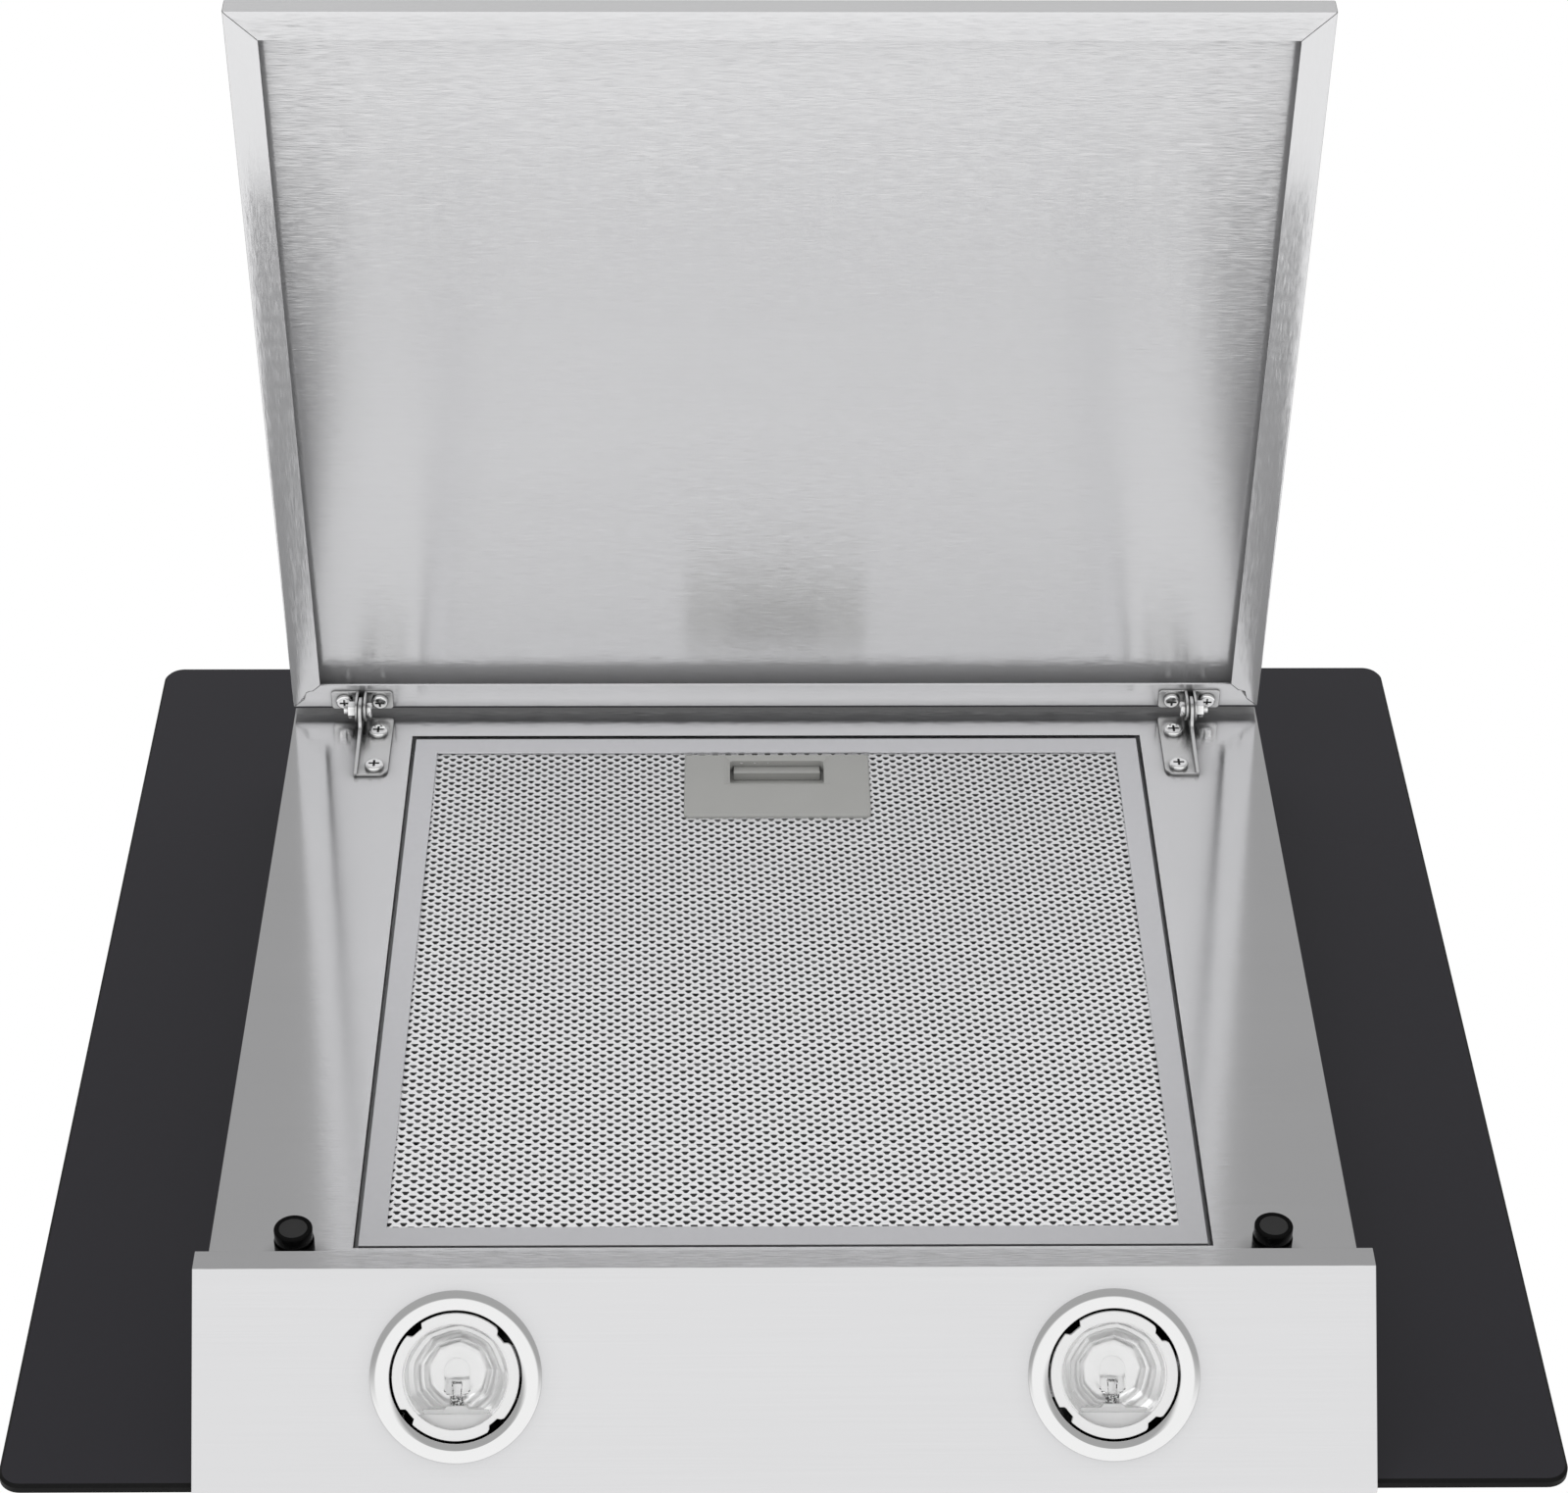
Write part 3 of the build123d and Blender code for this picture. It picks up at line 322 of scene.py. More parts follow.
outward = nodes.node("ShaderNodeVectorMath", {"operation": "DOT_PRODUCT"},
                     {0: facing, 1: tuple(out_of_glass)}, out="Value")
flat = outward.math("ABSOLUTE", outward).step(ground_from, ground_to)
either = nodes.node("ShaderNodeMixShader", {}, {0: flat, 1: ground, 2: face})
nodes.node("ShaderNodeOutputMaterial", {}, {"Surface": either})
dress("glass_panel", black_glass)

rubber, nodes = new_finish("rubber")
surface(nodes, Base_Color=nodes.grey(nodes.noise((900, 900, 900)) * 0.02 + 0.02), Roughness=0.7)
dress("glass_grommets", rubber)


# Sheet steel behind the glass: folded and spot-welded housing, glass carrier, doubled hanging
# plates, filter seat and motor plate, all zinc plated, with a faint crystal pattern.
def zinc_plate(name, level):
    """Zinc-plated sheet of this mean level."""
    material, nodes = new_finish(name)
    crystal = nodes.node("ShaderNodeTexVoronoi", {}, {"Vector": nodes.place((1, 1, 1)), "Scale": 110.0,
                                                      "Randomness": 1.0}, out="Color")
    tone = nodes.node("ShaderNodeRGBToBW", {}, {"Color": crystal})
    cloud = nodes.noise((9, 9, 9), 4.0)
    shade = tone * 0.06 + cloud * 0.10 + (level - 0.08)
    surface(nodes, Base_Color=nodes.grey(shade, (1, 1.005, 1.015)), Metallic=0.85,
            Roughness=tone * 0.12 + cloud * 0.12 + 0.30)
    return material


zinc = zinc_plate("zinc", 0.62)
for name in ("glass_carrier", "rear_housing", "hanger_plates", "filter_seat", "motor_plate"):
    dress(name, zinc, 0.15)


# Steel body and lamp strip: 1 mm stainless sheet, folded and welded, brushed across the hood.
# The lamp face lies level when the hood hangs.
fine_waves = (120, 16000)
coarse_waves = (14, 3200)
broad_waves = (4, 30)
coarse_share = 0.02


def brushed_steel(name, level, smear, metallic=1.0, grain=(1, 0, 0), gloss=0.11, corners=(9, 1.3)):
    """Stainless sheet: mirror images stay sharp along its grain and smear across it; painted shade darkens
    its corners.
    """
    material, nodes = new_finish(name)
    lengthwise = abs(grain[0])

    def streaks(waves, detail, seed):
        """Noise drawn out along the grain, with these waves a metre along it and across it."""
        along, crosswise = waves
        x = crosswise + (along - crosswise) * lengthwise
        other = along + (crosswise - along) * lengthwise
        return nodes.noise((x, other, other), detail, seed=seed)

    fine = streaks(fine_waves, 1.0, 1.0)
    coarse = streaks(coarse_waves, 2.0, 2.0)
    broad = streaks(broad_waves, 2.0, 3.0)
    facing = nodes.node("ShaderNodeNewGeometry", out="Normal")
    across = nodes.node("ShaderNodeVectorMath", {"operation": "CROSS_PRODUCT"}, {0: facing, 1: grain})
    tilt = (fine - 0.5) * smear + (coarse - 0.5) * (smear * coarse_share)
    leaned = nodes.node("ShaderNodeVectorMath", {"operation": "SCALE"}, {0: across, "Scale": tilt})
    leaned = nodes.node("ShaderNodeVectorMath", {"operation": "ADD"}, {0: facing, 1: leaned})
    leaned = nodes.node("ShaderNodeVectorMath", {"operation": "NORMALIZE"}, {0: leaned})
    # Painted shade: the base colour is darkened where other parts stand within reach, as set by corners.
    shade = ((coarse - 0.5) * 0.05 + (broad - 0.5) * 0.03 + level) * nodes.painted_corner_shade(*corners)
    surface(nodes, Base_Color=nodes.grey(shade, (1, 1, 1.012)), Metallic=metallic,
            Roughness=(coarse - 0.5) * 0.05 + gloss, Normal=leaned)
    return material


body_steel = brushed_steel("body_steel", 0.74, 0.40)
dress("body_tray", body_steel, 0.3)
dress("lamp_strip", body_steel, 0.3)


# Lamps: chrome trim pressed into the strip, white retaining ring with four notches, clear cover
# glass, pressed bright reflector, and a capsule bulb in a white socket with a flat cover.
chrome, nodes = new_finish("chrome")
surface(nodes, Base_Color=nodes.grey(nodes.noise((60, 60, 60)) * 0.02 + 0.85), Metallic=1.0,
        Roughness=nodes.noise((200, 200, 200)) * 0.04 + 0.03)
ring_white, nodes = new_finish("ring_white")
surface(nodes, Base_Color=nodes.grey(nodes.noise((700, 700, 700)) * 0.02 + 0.98), Roughness=0.35)
clear_glass, nodes = new_finish("clear_glass")
surface(nodes, Base_Color=(1, 1, 1, 1), Roughness=nodes.noise((80, 80, 80)) * 0.02 + 0.01,
        Transmission_Weight=1.0, IOR=1.25)
bulb_glass, nodes = new_finish("bulb_glass")
surface(nodes, Base_Color=(1, 1, 1, 1), Roughness=nodes.noise((300, 300, 300)) * 0.04 + 0.01,
        Transmission_Weight=1.0, IOR=1.12)
bright, nodes = new_finish("bright_reflector")
surface(nodes, Base_Color=nodes.grey(nodes.noise((120, 120, 120)) * 0.04 + 0.96), Metallic=0.6,
        Roughness=nodes.noise((300, 300, 300)) * 0.08 + 0.14)
foil_grey, nodes = new_finish("foil_grey")
crumple = nodes.noise((1500, 1500, 1500), 4.0)
creased = nodes.node("ShaderNodeBump", {}, {"Strength": 0.7, "Distance": 0.0006, "Height": crumple})
surface(nodes, Base_Color=nodes.grey(crumple.step(0.42, 0.60) * 0.85 + 0.04), Metallic=0.6,
        Roughness=0.35, Normal=creased)


class Solids:
    """Closed solids gathered into one piece, each from points in millimetres of one frame."""

    def __init__(self, place):
        self.place = place
        self.points = []
        self.faces = []

    def loft(self, rings, endless=False):
        """Skin over rings of points; its ends are filled, or joined where it is endless."""
        size = len(rings[0])
        start = len(self.points)
        for ring in rings:
            self.points.extend(self.place(*point) for point in ring)
        for strip in range(len(rings) if endless else len(rings) - 1):
            here = start + strip * size
            there = start + (strip + 1) % len(rings) * size
            for i in range(size):
                j = (i + 1) % size
                self.faces.append([here + i, here + j, there + j, there + i])
        if not endless:
            for end in (start, start + (len(rings) - 1) * size):
                self.faces.append([end + i for i in range(size)])

    def wire(self, path, radius, sides=8):
        """Round wire along a path."""
        path = [Vector(point) for point in path]
        off_axis = Vector((0.3, 0.1, 0.95))
        rings = []
        for i, point in enumerate(path):
            along = (path[min(i + 1, len(path) - 1)] - path[max(i - 1, 0)]).normalized()
            side = along.cross(off_axis).normalized()
            other = along.cross(side)
            angles = [tau * k / sides for k in range(sides)]
            rings.append([point + (side * cos(a) + other * sin(a)) * radius for a in angles])
        self.loft(rings)

    def piece(self, name, material, node, slot, edge=0.0):
        """The finished piece, in the place of a CAD node and moving with its body."""
        made = mesh_piece(name, self.points, self.faces, material)
        if edge:
            soften(made, edge)
        flat = made.modifiers.new("flat_faces", "WEIGHTED_NORMAL")
        flat.keep_sharp = True
        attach(made, frame["nodes"][node].parent.name.split(":")[1])
        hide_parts(node)
        return made


lamp_edge = on_slope(0, -4.8, 1.2)
lamp_from_edge = 43.2
lamp_spacing = 250
round_steps = 144
trim_section = [(25.2, 11), (25.2, -0.6), (25.5, -0.95), (27.6, -2.0), (28.1, -2.17), (28.7, -2.2),
                (29.5, -2.03), (30.4, -1.65), (31.3, -1.15), (32.1, -0.6), (32.6, -0.15), (32.6, 0),
                (27.2, 0), (27.2, 11)]
ring_outer = [(24.15, 1.7), (24.15, -0.8), (24.0, -1.15), (23.65, -1.3)]
ring_inner = [(20.5, -1.3), (20.15, -1.15), (20.0, -0.88), (20.86, -0.88), (20.86, 1.7)]
lens_section = [(17.2, -0.9), (17.5, -0.7), (18.6, -0.7), (18.9, -0.9), (20.6, -0.9), (20.8, -0.7),
                (20.8, 0.7), (20.6, 0.9)]
cup_inside = [(9.5, 14.1), (11.4, 13.5), (12.6, 12.4), (13.4, 10.8), (15.4, 9.9), (16.4, 8.4),
              (17.0, 6.0), (18.7, 5.0), (19.3, 3.4), (19.6, 2.1)]
cup_outside = [(20.7, 1.9), (20.7, 2.6), (20.2, 5.8), (17.6, 10.6), (11.0, 14.9)]
cup_waves = 9
notch_angles = (40, 131, 219, 310)
notch_half_angle = 7.8
notch_flank = 2.0
notch_depth = 1.9
cover_radius = 20.6
cover_start, cover_sweep = 44.4, 91.2
chord = 14.4
bulb_middle = 7.9
bulb_radius = 5.0
bulb_tip = -6.4
pin_off, pin_radius = 2.0, 0.5
lead_radius = 0.18
coil_half, coil_radius, coil_wire, coil_steps, coil_turns = 1.7, 0.45, 0.14, 60, 8


def circle(radius, level, shape=None):
    """Ring of points at one level; shape gives what its radius loses at each angle."""
    ring = []
    for step in range(round_steps):
        angle = tau * step / round_steps
        here = radius - (shape(angle) if shape else 0)
        ring.append((here * cos(angle), here * sin(angle), level))
    return ring


def notch(angle):
    """What the ring's outer edge loses at its four notches."""
    deepest = 0
    for place in notch_angles:
        off = abs((angle + radians(place) + tau / 2) % tau - tau / 2)
        share = min(1, max(0, (radians(notch_half_angle) - off) / radians(notch_flank)))
        deepest = max(deepest, notch_depth * share * (2 - share))
    return deepest


def cup_fold(angle):
    """What the pressed folds take from the reflector's radius."""
    return 0.45 * abs(sin(cup_waves * angle / 2 + 0.4)) + 0.2 * sin(2 * angle + 1)


def bulb_ring(y, width, height):
    """Section of the bulb's glass: a round that flattens towards the pinched end."""
    steps = 32
    return [(width * cos(tau * i / steps), y, bulb_middle + height * sin(tau * i / steps))
            for i in range(steps)]


def lamp(word, across):
    """One lamp, from its trim inwards."""
    seat = Vector((across * mm, lamp_edge.y - lamp_from_edge * mm, lamp_edge.z))

    def at_lamp(x, y, z):
        return seat + Vector((x, y, z)) * mm

    trim = Solids(at_lamp)
    trim.loft([circle(*point) for point in trim_section], endless=True)
    trim.piece(f"trim_{word}", chrome, f"lamp_trim_{word}", "chrome_trim")

    ring = Solids(at_lamp)
    ring.loft([circle(*point, notch) for point in ring_outer] + [circle(*point) for point in ring_inner],
              endless=True)
    ring.piece(f"ring_{word}", ring_white, f"lamp_ring_{word}", "ring_white")

    lens = Solids(at_lamp)
    lens.loft([circle(*point) for point in lens_section])
    lens.piece(f"cover_glass_{word}", clear_glass, f"lamp_glass_{word}", "lamp_glass")

    cup = Solids(at_lamp)
    folds = [circle(*cup_inside[0])] + [circle(*point, cup_fold) for point in cup_inside[1:-1]]
    cup.loft(folds + [circle(*point) for point in [cup_inside[-1]] + cup_outside])
    cup.piece(f"reflector_{word}", bright, f"lamp_reflector_{word}", "reflector_bright")

    cover = Solids(at_lamp)
    reach = (cover_radius ** 2 - chord ** 2) ** 0.5
    swing = [radians(cover_start + cover_sweep * i / 30) for i in range(31)]
    outline = [(cover_radius * cos(a), cover_radius * sin(a)) for a in swing]
    outline += [(-reach, chord), (reach, chord)]
    cover.loft([[(x, y, level) for x, y in outline] for level in (1.9, 12)])
    ledge = [(-13.4, chord), (-12.4, chord - 1.5), (12.4, chord - 1.5), (13.4, chord)]
    cover.loft([[(x, y, level) for x, y in ledge] for level in (4.2, 11)])
    foot = [(-6.2, chord), (-3.4, chord - 2.8), (3.4, chord - 2.8), (6.2, chord)]
    cover.loft([[(x, y, level) for x, y in foot] for level in (4.5, 11)])
    cover.piece(f"socket_{word}", ring_white, f"lamp_socket_{word}", "ring_white", edge=0.25)

    capsule = Solids(at_lamp)
    dome_angles = [radians(15 * k) for k in range(1, 7)]
    dome = [(bulb_tip + bulb_radius * (1 - cos(a)), bulb_radius * sin(a)) for a in dome_angles]
    rings = [bulb_ring(y, r, r) for y, r in dome]
    rings += [bulb_ring(6.4, 5.0, 5.0), bulb_ring(7.4, 4.2, 3.6), bulb_ring(8.2, 2.9, 1.9)]
    capsule.loft(rings)
    glass = capsule.piece(f"bulb_{word}", bulb_glass, f"lamp_bulb_{word}", "bulb_glass")

    inside = Solids(at_lamp)
    inside.loft([bulb_ring(8.25, 2.6, 1.6), bulb_ring(9.0, 2.6, 1.3), bulb_ring(13.2, 2.6, 1.3)])
    for side in (-1, 1):
        inside.wire([(side * pin_off, y, bulb_middle) for y in (13, 17)], pin_radius)
        lead = [(side * x, y, bulb_middle) for x, y in ((1.3, 8.4), (1.5, 5), (1.7, 3.2))]
        inside.wire(lead, lead_radius)
    coil = []
    for i in range(coil_steps + 1):
        angle = tau * i * coil_turns / coil_steps
        coil.append((coil_half * (2 * i / coil_steps - 1), 3.0 + coil_radius * cos(angle),
                     bulb_middle + coil_radius * sin(angle)))
    inside.wire(coil, coil_wire)
    foil = mesh_piece(f"bulb_foot_{word}", inside.points, inside.faces, foil_grey)
    foil.parent = glass


for word, across in (("left", -lamp_spacing / 2), ("right", lamp_spacing / 2)):
    lamp(word, across)


# Catch posts: black plastic mouldings on the plate that the closed flap lands on, each with a dark
# magnet pressed into its top.
def moulding(name, level, roughness, grain=0.06, tint=(1, 1, 1), index=1.45, corners=(7, 0.9)):
    """Moulded plastic with a fine grain, and painted shade in its corners."""
    material, nodes = new_finish(name)
    spark = nodes.noise((2600, 2600, 2600), 2.0)
    cloud = nodes.noise((40, 40, 40), 3.0)
    bump = nodes.node("ShaderNodeBump", {}, {"Strength": grain, "Distance": 0.0004, "Height": spark})
    shade = (cloud - 0.5) * level * 0.08 + (spark - 0.5) * level * 0.06 + level
    # Painted shade: the colour is darkened in corners and recesses within reach, as set by corners.
    surface(nodes, Base_Color=nodes.grey(shade * nodes.painted_corner_shade(*corners), tint),
            Roughness=(spark - 0.5) * 0.12 + roughness, Normal=bump, IOR=index)
    return material


post_black = moulding("post_black", 0.004, 0.24, index=1.13)
magnet_dark = moulding("magnet_dark", 0.02, 0.42)
for side in ("left", "right"):
    dress(f"catch_post_{side}", post_black, 0.3)
dress("catch_magnets", magnet_dark)


# Hinges: pressed stainless brackets on the plate and small angles on the flap's rim, all with
# rounded corners, held by bright zinc-plated screws, bolts and nuts.
def plain_steel(name, level, roughness):
    """Pressed or turned steel with light scratches, and painted shade in its corners."""
    material, nodes = new_finish(name)
    cloud = nodes.noise((90, 90, 90), 3.0)
    scratch = nodes.noise((300, 3000, 3000), 2.0)
    # Painted shade: the colour is darkened within 3 mm of other parts.
    shade = ((cloud - 0.5) * 0.08 + (scratch - 0.5) * 0.05 + level) * nodes.painted_corner_shade(3, 1.2)
    surface(nodes, Base_Color=nodes.grey(shade), Metallic=1.0,
            Roughness=(scratch - 0.5) * 0.12 + (cloud - 0.5) * 0.08 + roughness)
    return material


hinge_steel = plain_steel("hinge_steel", 0.72, 0.24)
screw_steel = plain_steel("screw_steel", 0.95, 0.10)
for name in ("hinge_bolts", "hinge_nuts", "hinge_washers", "hinge_foot_screws", "flap_angle_screws",
             "body_screws", "body_nuts", "motor_screws", "outlet_screws"):
    dress(name, screw_steel, 0.2)

hinge_up = 434.4
hinge_out = 51.8
blade_across = 192.5
blade_thick = 1.5
plate_out = 42.0
flap_turn = radians(180 - 84.5)
along_flap = up_the_glass * cos(flap_turn) + out_of_glass * sin(flap_turn)
out_of_flap = out_of_glass * cos(flap_turn) - up_the_glass * sin(flap_turn)
hinge_line = on_slope(0, hinge_up, hinge_out)


def on_flap(across, along, out):
    """Point of the shared frame from millimetres in the flap frame, at rest."""
    return hinge_line + Vector((across, 0, 0)) * mm + along_flap * along * mm + out_of_flap * out * mm


def rounded(corners, steps=6):
    """Closed outline from corners (a, b, radius), each bent round its radius."""
    outline = []
    for i, (a, b, radius) in enumerate(corners):
        corner = Vector((a, b))
        if not radius:
            outline.append((a, b))
            continue
        before = (Vector(corners[i - 1][:2]) - corner).normalized()
        after = (Vector(corners[(i + 1) % len(corners)][:2]) - corner).normalized()
        half_angle = before.angle(after) / 2
        middle = corner + (before + after).normalized() * (radius / sin(half_angle))
        start = corner + before * (radius / tan(half_angle)) - middle
        end = corner + after * (radius / tan(half_angle)) - middle
        sweep = start.angle(end)
        for step in range(steps + 1):
            share = step / steps
            bend = start * (sin((1 - share) * sweep) / sin(sweep)) + end * (sin(share * sweep) / sin(sweep))
            outline.append(tuple(middle + bend))
    return outline


def across_plate(outline, span):
    """Rings of a plate that stands across X, its outline in the other two directions."""
    return [[(x, a, b) for a, b in outline] for x in span]


def flat_plate(outline, levels):
    """Rings of a plate that lies flat, its outline in the first two directions."""
    return [[(a, b, level) for a, b in outline] for level in levels]


foot_wide = 14.5
foot_ends = (395.4, 440.0)
foot_top = plate_out + blade_thick
angle_start = 1.3
angle_thick = 1.2
angle_wide = 13.0
angle_ends = (-6.1, 4.3)
rim_face = -9.0
leaf_radius = 5.5

for word, side in (("left", -1), ("right", 1)):
    bracket = Solids(on_slope)
    inner = side * (blade_across - foot_wide)
    outer = side * (blade_across + blade_thick / 2)
    foot = rounded([(inner, foot_ends[0], 4.5), (outer, foot_ends[0], 0), (outer, foot_ends[1], 0),
                    (inner, foot_ends[1], 2.5)])
    bracket.loft(flat_plate(foot, (plate_out, foot_top)))
    blade = rounded([(foot_ends[0], plate_out, 0), (foot_ends[1], plate_out, 0),
                     (hinge_up + 6.3, hinge_out + 6.0, 5.9), (hinge_up - 6.0, hinge_out + 6.0, 5.9),
                     (hinge_up - 9, plate_out + 6.0, 4), (foot_ends[0], plate_out + 3, 0)])
    bracket.loft(across_plate(blade, (side * (blade_across - blade_thick / 2), outer)))
    bracket.piece(f"bracket_{word}", hinge_steel, f"hinge_bracket_{word}", "hinge_steel", edge=0.25)

    angles = Solids(on_flap)
    for step in (-1, 1):
        near = side * blade_across + step * angle_start
        far = near + step * angle_wide
        foot = rounded([(near, angle_ends[0], 0), (far, angle_ends[0], 1.8), (far, angle_ends[1], 1.8),
                        (near, angle_ends[1], 0)])
        angles.loft(flat_plate(foot, (rim_face, rim_face + angle_thick)))
        leaf = rounded([(-leaf_radius, rim_face, 0), (angle_ends[1], rim_face, 0), (leaf_radius, -3, 2.5),
                        (leaf_radius, leaf_radius, 5.4), (-leaf_radius, leaf_radius, 5.4)])
        angles.loft(across_plate(leaf, (near, near + step * angle_thick)))
        bend = rounded([(near, rim_face, 0), (near + step * 2.4, rim_face, 0),
                        (near + step * angle_thick, rim_face + angle_thick, 0),
                        (near + step * angle_thick, rim_face + 2.4, 0), (near, rim_face + 2.4, 0)])
        angles.loft([[(a, along, b) for a, b in bend] for along in (-5.4, 4.2)])
    angles.piece(f"angles_{word}", hinge_steel, f"flap_angles_{word}", "hinge_steel", edge=0.25)


# Flap: a pan of brushed stainless sheet. Its four sides are folded up and in again as a rim,
# mitred at the corners; the two lower joints are cut in steps that hook into each other.
flap_steel = brushed_steel("flap_steel", 0.87, 0.85, metallic=0.60, gloss=0.17, corners=(10, 0.6))
side_steel = brushed_steel("flap_side_steel", 0.86, 0.4, metallic=0.55, grain=tuple(along_flap),
                           corners=(12, 0.8))
flap_half = 225.0
flap_ends = (-6.1, 364.2)
rim_width = 13.3
rim_back = -19.0
seam = 0.45
plain_joint = [(0, 0), (20, 20)]
stepped_joint = [(0, 0), (5.4, 4.7), (6.4, 8.8), (8.0, 9.6), (9.6, 9.8), (13.3, 13.3)]
lap = 2.6
insets = sorted({inset for pair in stepped_joint[1:-1] for inset in pair})
bar_section = [(rim_width, rim_face)] + [(inset, rim_face) for inset in reversed(insets)]
bar_section += [(0.8, rim_face), (0.25, rim_face - 0.25), (0, rim_face - 0.8), (0, rim_back + 1.0),
                (0.3, rim_back + 0.3), (1.0, rim_back), (lap, rim_back), (lap, rim_back + 1),
                (1.5, rim_back + 1), (1, rim_back + 1.5), (1, rim_face - 1.5), (1.5, rim_face - 1)]
bar_section += [(inset, rim_face - 1) for inset in insets] + [(rim_width, rim_face - 1)]


def follow(inset, joint):
    """How far a joint is from one edge where it is this far from the other."""
    for (a0, b0), (a1, b1) in zip(joint, joint[1:]):
        if inset <= a1:
            return b0 + (b1 - b0) * (inset - a0) / (a1 - a0)
    return inset


flap_corners = list(zip(flap_ends, (stepped_joint, plain_joint), (1, -1)))
flap_sides = Solids(on_flap)
for side in (-1, 1):
    flap_sides.loft([[(side * (flap_half - inset), end + way * (follow(inset, joint) + seam / 2), level)
                      for inset, level in bar_section] for end, joint, way in flap_corners])
flap_sides.piece("flap_sides", side_steel, "flap_panel", "flap_steel")

flap = Solids(on_flap)
for end, joint, way in flap_corners:
    turned = [(b, a) for a, b in joint]
    flap.loft([[(side * (flap_half - follow(inset, turned) - seam / 2), end + way * inset, level)
                for inset, level in bar_section] for side in (-1, 1)])
skin_half = flap_half - lap
skin_ends = (flap_ends[0] + lap, flap_ends[1] - lap)
skin = [(-skin_half, skin_ends[0]), (skin_half, skin_ends[0]),
        (skin_half, skin_ends[1]), (-skin_half, skin_ends[1])]
flap.loft(flat_plate(skin, (rim_back, rim_back + 1)))
flap.piece("flap", flap_steel, "flap_panel", "flap_steel")


# Grease filter: satin aluminium channel frame round expanded aluminium mesh, with a grey moulded
# handle plate and a sliding latch in its recess.
satin, nodes = new_finish("satin_aluminium")
grain = nodes.noise((300, 300, 300), 3.0)
surface(nodes, Base_Color=nodes.grey((grain - 0.5) * 0.05 + 0.80, (1.0, 1.0, 1.025)), Metallic=0.85,
        Roughness=(grain - 0.5) * 0.1 + 0.42)
dress("filter_frame", satin, 0.3)
mesh_metal, nodes = new_finish("mesh_aluminium")
grain = nodes.noise((400, 400, 400), 3.0)
surface(nodes, Base_Color=nodes.grey((grain - 0.5) * 0.03 + 0.97, (1.0, 1.0, 1.01)), Metallic=0.2,
        Roughness=(grain - 0.5) * 0.1 + 0.30)
dress("filter_mesh_back", mesh_metal)
# Inner layers of the filter: aluminium given a dark colour as painted shade for the depth seen through the
# mesh's holes.
core_painted_shade, nodes = new_finish("core_aluminium")
grain = nodes.noise((500, 500, 500), 3.0)
surface(nodes, Base_Color=nodes.grey((grain - 0.5) * 0.2 + 0.22), Metallic=1.0,
        Roughness=(grain - 0.5) * 0.2 + 0.5)
dress("filter_core", core_painted_shade)
handle_grey = moulding("handle_grey", 0.47, 0.5, tint=(1.0, 1.0, 0.965), corners=(3, 0.4))
latch_grey = moulding("latch_grey", 0.46, 0.5, tint=(1.0, 1.0, 0.965), corners=(3, 0.4))
dress("filter_handle", handle_grey, 0.15)
dress("filter_latch", latch_grey, 0.15)

# Each hole of the mesh has a raised upper edge and a sunken lower one. They lean down the slope,
# by sight for each millimetre that they stand out.
cell_width = 6.04
cell_length = 4.53
hole = [(1.6, 0.5), (1.1, 1.02), (-1.1, 1.02), (-1.6, 0.5), (-0.45, -1.2), (0.45, -1.2)]
hole_raised = 0.4
hole_sunk = 0.2
sight = 1.217
unevenness = 0.08
strand_thick = 0.25
mesh_turn = radians(1.5)
mesh_half = 163.0
mesh_ends = (90.0, 422.7)
mesh_out = 40.15
handle_gap = (39.0, 368.4, 409.9)
ragged = random.Random(7)


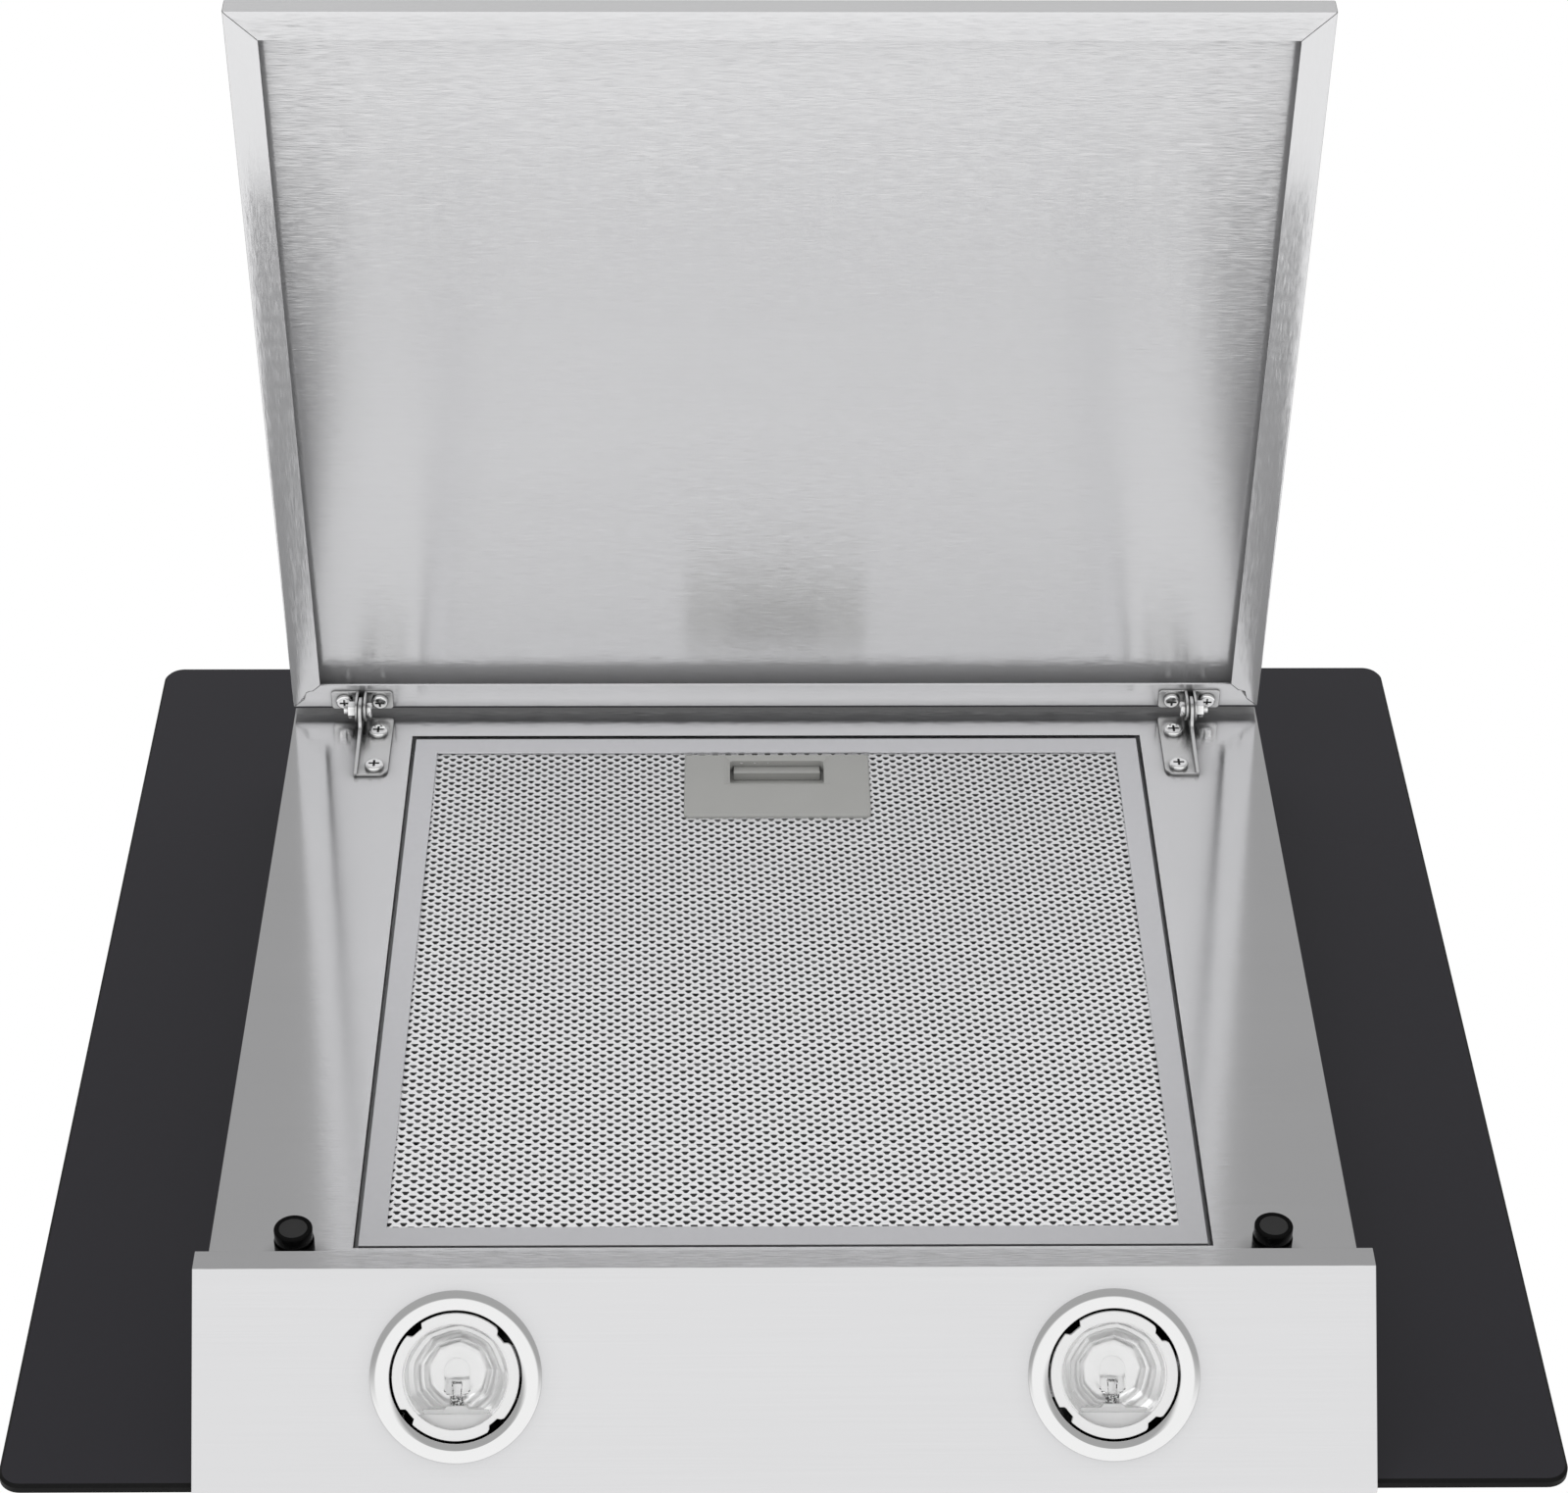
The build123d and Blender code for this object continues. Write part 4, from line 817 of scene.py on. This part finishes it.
def expanded_sheet():
    """Slit and stretched sheet, in staggered cells, with the handle's place left out."""
    points = []
    faces = []
    shared = {}
    columns = int(mesh_half / (cell_width / 2)) + 8
    rows = int((mesh_ends[1] - mesh_ends[0]) / cell_length) + 8
    middle = sum(mesh_ends) / 2

    def corner(across, up, level, key):
        if key not in shared:
            shared[key] = len(points)
            points.append(on_slope(across, up, mesh_out + level))
        return shared[key]

    for row in range(-rows, rows + 1):
        for column in range(-columns + (row - columns) % 2, columns + 1, 2):
            x = column * cell_width / 2
            y = row * cell_length / 2
            across = x * cos(mesh_turn) - y * sin(mesh_turn)
            up = middle + x * sin(mesh_turn) + y * cos(mesh_turn)
            if abs(across) > mesh_half or not mesh_ends[0] < up < mesh_ends[1]:
                continue
            if abs(across) < handle_gap[0] and handle_gap[1] < up < handle_gap[2]:
                continue
            edge = [(dx + ragged.uniform(-unevenness, unevenness),
                     dy + ragged.uniform(-unevenness, unevenness)) for dx, dy in hole]
            sides = []
            for level in (0, -strand_thick):
                ring = []
                for dx, dy in edge:
                    lift = hole_raised * dy if dy > 0 else hole_sunk * dy
                    points.append(on_slope(across + dx, up + dy - sight * lift, mesh_out + level + lift))
                    ring.append(len(points) - 1)
                outer = []
                for i, j in ((1, 0), (0, 1), (-1, 0), (0, -1)):
                    dx = i * cell_width / 2 * cos(mesh_turn) - j * cell_length / 2 * sin(mesh_turn)
                    dy = i * cell_width / 2 * sin(mesh_turn) + j * cell_length / 2 * cos(mesh_turn)
                    outer.append(corner(across + dx, up + dy, level, (column + i, row + j, level)))
                sides.append(ring)
                faces += [[ring[0], outer[0], outer[1], ring[1]], [ring[1], outer[1], ring[2]],
                          [ring[2], outer[1], outer[2], ring[3]], [ring[3], outer[2], outer[3], ring[4]],
                          [ring[4], outer[3], ring[5]], [ring[5], outer[3], outer[0], ring[0]]]
            for i in range(6):
                j = (i + 1) % 6
                faces.append([sides[0][i], sides[0][j], sides[1][j], sides[1][i]])
    return mesh_piece("filter_mesh", points, faces, mesh_metal)


front_mesh = expanded_sheet()
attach(front_mesh, "filter")
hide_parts("filter_mesh_front")


# Blower: black moulded casing, wheel and inlet cover behind the filter, with a plated motor can and
# a ground steel shaft. Motor and motor plate are screwed to the side of the casing.
fan_black = moulding("fan_black", 0.03, 0.45)
motor_metal = plain_steel("motor_metal", 0.55, 0.38)
shaft_steel = plain_steel("shaft_steel", 0.65, 0.2)
for name in ("blower_scroll", "scroll_cover", "impeller"):
    dress(name, fan_black)
dress("motor", motor_metal)
dress("motor_shaft", shaft_steel)


# Outlet: dark grey moulded duct collar, screwed to the housing's top, with two non-return flaps
# that swing up in it.
collar_grey = moulding("collar_grey", 0.075, 0.5)
for name in ("outlet_collar", "damper_flap_rear", "damper_flap_front"):
    dress(name, collar_grey, 0.2)


# Electrical parts inside the housing: pale mouldings for the terminals and the capacitor, black
# nylon gland, black lamp transformer and touch control, and a green circuit board.
box_white = moulding("box_white", 0.72, 0.45)
gland_black = moulding("gland_black", 0.025, 0.5)
board_green, nodes = new_finish("board_green")
mottled = nodes.mix(nodes.noise((400, 400, 400)), (0.02, 0.10, 0.05, 1), (0.03, 0.14, 0.07, 1))
surface(nodes, Base_Color=mottled, Roughness=0.4)
for name in ("terminal_box", "terminal_block", "capacitor", "capacitor_clip"):
    dress(name, box_white, 0.2)
for name in ("cable_gland", "lamp_transformer", "touch_cover"):
    dress(name, gland_black, 0.2)
dress("touch_board", board_green)
